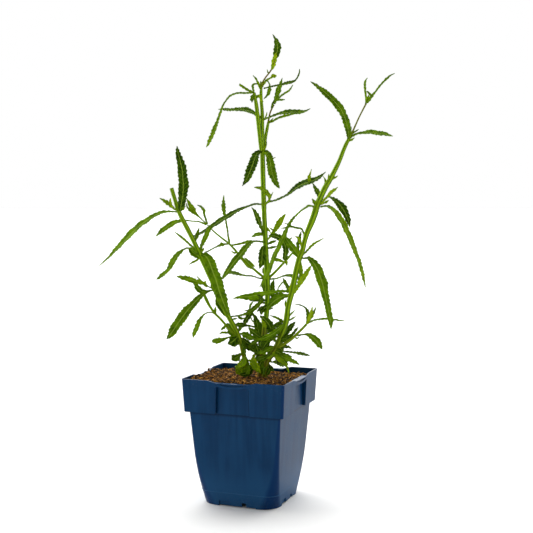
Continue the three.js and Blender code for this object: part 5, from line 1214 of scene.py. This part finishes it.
        (0, 6, 15, -0.2, [(27, 161, 1.4), (24.8, 164.5, 3), (21.6, 166.3, 2.6), (19, 166.8, 0.5)]),
    ],
}

# %% Build the small leaves
SPRIG_COLUMNS, SPRIG_PITCH = 6, 0.00085
BRACTS_WIDER, BRACTS_DEEPER, BRACTS_YOUNGER = 1.2, 1.1, 0.3
LOBES_DEEPER, CROWN_CONTRAST, CROWN_OLDER = 1.7, 1.35, 0.05


def spread_rows(near_base, near_tip, points):
    """Adds a depth to each point, from the base's to the tip's, by how far along the leaf it lies."""
    flat = np.array(points, float)
    steps = np.linalg.norm(np.diff(flat[:, :2], axis=0), axis=1)
    share = np.concatenate(([0], np.cumsum(steps))) / steps.sum()
    depth = near_base + (near_tip - near_base) * share ** 1.2
    return np.stack((flat[:, 0], flat[:, 1], depth, flat[:, 2]), axis=1)


def build_sprig(name, leaves):
    is_bract = name.startswith("bracts")
    wider, deeper = (BRACTS_WIDER, BRACTS_DEEPER) if is_bract else (1.0, LOBES_DEEPER)
    made = []
    for number, (turn, near_base, near_tip, tone, points) in enumerate(leaves):
        rows = spread_rows(near_base, near_tip, points)
        rows[:, 3] *= wider
        tone = tone + BRACTS_YOUNGER if is_bract else CROWN_CONTRAST * tone - CROWN_OLDER
        tone = max(-1.0, min(tone, 1.0))
        made.append(leaf_mesh(f"{name}_{number}", turn, rows, tone, SPRIG_COLUMNS, SPRIG_PITCH, deeper))
    bpy.ops.object.select_all(action="DESELECT")
    for piece in made:
        piece.select_set(True)
    bpy.context.view_layer.objects.active = made[0]
    bpy.ops.object.join()
    sprig = bpy.context.object
    sprig.name = sprig.data.name = name
    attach(sprig, "root")
    return sprig


sprigs = [build_sprig(name, leaves) for name, leaves in SPRIGS.items()]
print("small leaves:", sum(map(len, SPRIGS.values())), "in", len(sprigs), "pieces,")
print("with", sum(map(triangles, sprigs)), "triangles")

# %% [markdown]
# ## The soil
#
# Potting mix is peat crumbs, coir fibre and small bits of bark, dark brown where damp and tan where dry.
# The frame's plain soil fills the pot, and over it goes a crust: a sheet lifted by noise, then thousands
# of crumbs, chips and fibres, each modelled once and copied with its own turn, size and tone.

# %% Soil finishes
def crumbly(name, dark, light, size):
    finish = Finish(name, 0.15)
    clods = finish.noise(size, 4.0)
    grains = finish.noise(size / 6, 3.0)
    mixed = finish.mix(clods.between(0.35, 0.68), dark, light)
    mixed = finish.mix(finish.attribute("tone").between(0.1, 1.0) * 0.75, mixed, colour(184, 124, 40))
    finish.set("Base Color", finish.mix(grains.between(0.55, 0.8) * 0.5, mixed, colour(120, 74, 30)))
    finish.set("Roughness", 0.8 + 0.15 * grains)
    finish.bump(grains + clods, 0.0004)
    return finish.material


PEAT = crumbly("damp_peat", colour(14, 8, 0), colour(76, 48, 8), 0.003)
CHIPS = crumbly("bark_chips", colour(50, 30, 4), colour(150, 100, 30), 0.003)
FIBRE = crumbly("coir_fibre", colour(110, 70, 16), colour(204, 152, 66), 0.004)
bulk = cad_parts["soil"]
bulk.data.materials.clear()
bulk.data.materials.append(PEAT)
print("finishes:", PEAT.name, CHIPS.name, FIBRE.name)

# %% [markdown]
# The soil lies a little higher towards the camera, with two heaps on the left and a hollow in the near
# left corner. Behind each sunk panel the collar is thick, and this ledge stands in the soil. The crust
# passes under the ledge's top, and there its edge is drawn in, so that nothing comes out at the far side
# of the wall.

# %% Crust over the soil
SOIL_LEVEL = 0.1257
SOIL_SLOPE = 0.05
SOIL_HEAPS = [
    (-0.050, 0.008, 0.0040, 0.016), (-0.050, -0.029, 0.0022, 0.009),
    (-0.053, -0.053, -0.0045, 0.011),
]
LEDGE_HALF, LEDGE_INNER, LEDGE_TOP = 0.0182, 0.0484, 0.1278
UNDER_LEDGE, DRAWN_IN = 0.0015, 0.2
CRUST_HALF, CRUST_STEPS = 0.0527, 120
CRUST_THICKNESS = 0.002
EDGE_FROM_SHARE, EDGE_DROP = 0.99, 0.0035
LUMP_HEIGHT = 0.0015


def soil_height(x, y):
    """Height of the soil: a slope, with its heaps and hollows as place, rise and spread."""
    height = SOIL_LEVEL - SOIL_SLOPE * y
    for heap_x, heap_y, rise, spread in SOIL_HEAPS:
        height = height + rise * np.exp(-((x - heap_x) ** 2 + (y - heap_y) ** 2) / spread ** 2)
    return height


def on_ledge(x, y):
    """True where one of the collar's four thick parts stands in the soil."""
    near, far = np.minimum(np.abs(x), np.abs(y)), np.maximum(np.abs(x), np.abs(y))
    return (near < LEDGE_HALF) & (far > LEDGE_INNER)


def lumps(x, y):
    """Crumb-sized ups and downs, the same on every run."""
    coarse = np.array([noise.noise((a * 330, b * 330, 0.3)) for a, b in zip(x, y)])
    fine = np.array([noise.noise((a * 900, b * 900, 4.1)) for a, b in zip(x, y)])
    return LUMP_HEIGHT * (coarse + 0.6 * fine)


def drawn_in(values, under):
    past = np.abs(values) - LEDGE_INNER
    return np.where(under & (past > 0), np.sign(values) * (LEDGE_INNER + DRAWN_IN * past), values)


def build_crust():
    crust = sheet("soil_crust", CRUST_STEPS, CRUST_STEPS)

    def place(s, t):
        x, y = (2 * s - 1) * CRUST_HALF, (2 * t - 1) * CRUST_HALF
        edge = np.maximum(np.abs(x), np.abs(y)) / CRUST_HALF
        z = soil_height(x, y) + lumps(x, y)
        z = np.where(edge > EDGE_FROM_SHARE, z - EDGE_DROP, z)
        under = on_ledge(x, y)
        z = np.where(under, np.minimum(z, LEDGE_TOP - UNDER_LEDGE), z)
        return np.stack((drawn_in(x, under), drawn_in(y, under), z), axis=1)

    shape(crust, place)
    mark(crust.data, "tone", 0.0)
    solid = crust.modifiers.new("depth", "SOLIDIFY")
    solid.thickness, solid.offset = CRUST_THICKNESS, -1.0
    finish_modifiers(crust)
    bpy.ops.object.shade_smooth()
    crust.data.materials.append(PEAT)
    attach(crust, "root")
    return crust


crust = build_crust()
print("crust:", triangles(crust), "triangles")

# %% [markdown]
# A crumb is a small ball of few faces, a chip is a flattened block with cut corners, and a fibre is a
# thin strand with a bend in it. One mesh holds all copies of a kind. Only a few crumbs lie on the left
# ledge, where the soil has spilled on to it.

# %% Model one crumb, one chip and one fibre
def crumb_pattern(kind):
    """One crumb, chip or fibre, about 1 unit across, as points and faces."""
    bpy.ops.object.select_all(action="DESELECT")
    if kind == "crumb":
        bpy.ops.mesh.primitive_ico_sphere_add(subdivisions=1, radius=0.5)
    elif kind == "chip":
        bpy.ops.mesh.primitive_cube_add(size=1.0)
    else:
        bpy.ops.mesh.primitive_cylinder_add(vertices=4, radius=0.035, depth=1.0, end_fill_type="NGON")
    pattern = bpy.context.object
    bpy.ops.object.mode_set(mode="EDIT")
    bpy.ops.mesh.select_all(action="SELECT")
    if kind == "chip":
        bpy.ops.mesh.bevel(offset=0.16, segments=1)
        bpy.ops.transform.resize(value=(1.0, 0.55, 0.22))
    if kind == "fibre":
        for height in (-0.25, 0.0, 0.25):
            bpy.ops.mesh.select_all(action="SELECT")
            bpy.ops.mesh.bisect(plane_co=(0, 0, height), plane_no=(0, 0, 1))
    bpy.ops.object.mode_set(mode="OBJECT")
    points = points_of(pattern.data)
    if kind == "fibre":
        across, deep, along = points.T
        points = np.stack((along, deep + 0.18 * np.cos(along * 3), across), axis=1)
    faces = [tuple(face.vertices) for face in pattern.data.polygons]
    bpy.data.objects.remove(pattern)
    return points, faces


# %% Scatter crumbs, chips and fibres
SCATTER_REACH = 0.0518
LEDGE_BITS_END, LEDGE_BITS_HALF, LEDGE_BITS_SIZE = 0.0502, 0.015, 0.004
SUNK, RAISED, TALLEST = -0.1, 0.45, 0.003


def turn_matrix(chance, lean):
    """A turn about the vertical, then a tip of up to lean radians."""
    spin, tip, way = chance.uniform(0, 6.28), chance.uniform(-lean, lean), chance.uniform(0, 6.28)
    c, s = math.cos(spin), math.sin(spin)
    around = np.array(((c, -s, 0), (s, c, 0), (0, 0, 1)))
    a, b = math.cos(way), math.sin(way)
    c, s = math.cos(tip), math.sin(tip)
    across = a * b * (1 - c)
    tipped = np.array((
        (c + a * a * (1 - c), across, b * s),
        (across, c + b * b * (1 - c), -a * s),
        (-b * s, a * s, c),
    ))
    return tipped @ around


def left_out(x, y, longest):
    """True on the ledges, except for small bits beside the soil on the left one."""
    beside_soil = -LEDGE_BITS_END <= x <= -LEDGE_INNER and abs(y) <= LEDGE_BITS_HALF
    return on_ledge(x, y) and not (beside_soil and longest <= LEDGE_BITS_SIZE)


def scatter(name, kind, count, size, lean, material, tones, seed):
    chance = random.Random(seed)
    pattern, faces = crumb_pattern(kind)
    points, all_faces, tone_values = [], [], []
    reach = SCATTER_REACH - 0.35 * size[1]
    while len(points) < count:
        x, y = chance.uniform(-reach, reach), chance.uniform(-reach, reach)
        if left_out(x, y, size[1]):
            continue
        scale = chance.uniform(*size)
        stretch = np.array([chance.uniform(0.7, 1.3) for _ in range(3)])
        copy = (pattern * stretch * scale) @ turn_matrix(chance, lean).T
        ground = max(float(soil_height(x, y)), LEDGE_TOP if on_ledge(x, y) else 0.0)
        z = ground + chance.uniform(SUNK, RAISED) * min(scale, TALLEST)
        all_faces += [tuple(corner + len(points) * len(pattern) for corner in face) for face in faces]
        points.append(copy + (x, y, z))
        tone_values.append(chance.uniform(*tones))
    mesh = bpy.data.meshes.new(name)
    mesh.from_pydata(np.vstack(points).tolist(), [], all_faces)
    mark(mesh, "tone", np.repeat(tone_values, len(pattern)))
    mesh.materials.append(material)
    piece = bpy.data.objects.new(name, mesh)
    bpy.context.scene.collection.objects.link(piece)
    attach(piece, "root")
    return piece


scattered = [
    scatter("soil_crumbs", "crumb", 2600, (0.0009, 0.0034), 3.1, PEAT, (-1.0, 0.35), 11),
    scatter("bark_bits", "chip", 700, (0.0016, 0.0056), 0.7, CHIPS, (-0.7, 0.8), 12),
    scatter("coir_strands", "fibre", 1300, (0.003, 0.011), 0.5, FIBRE, (-0.6, 1.0), 13),
]
print("scattered:", [(piece.name, triangles(piece)) for piece in scattered])
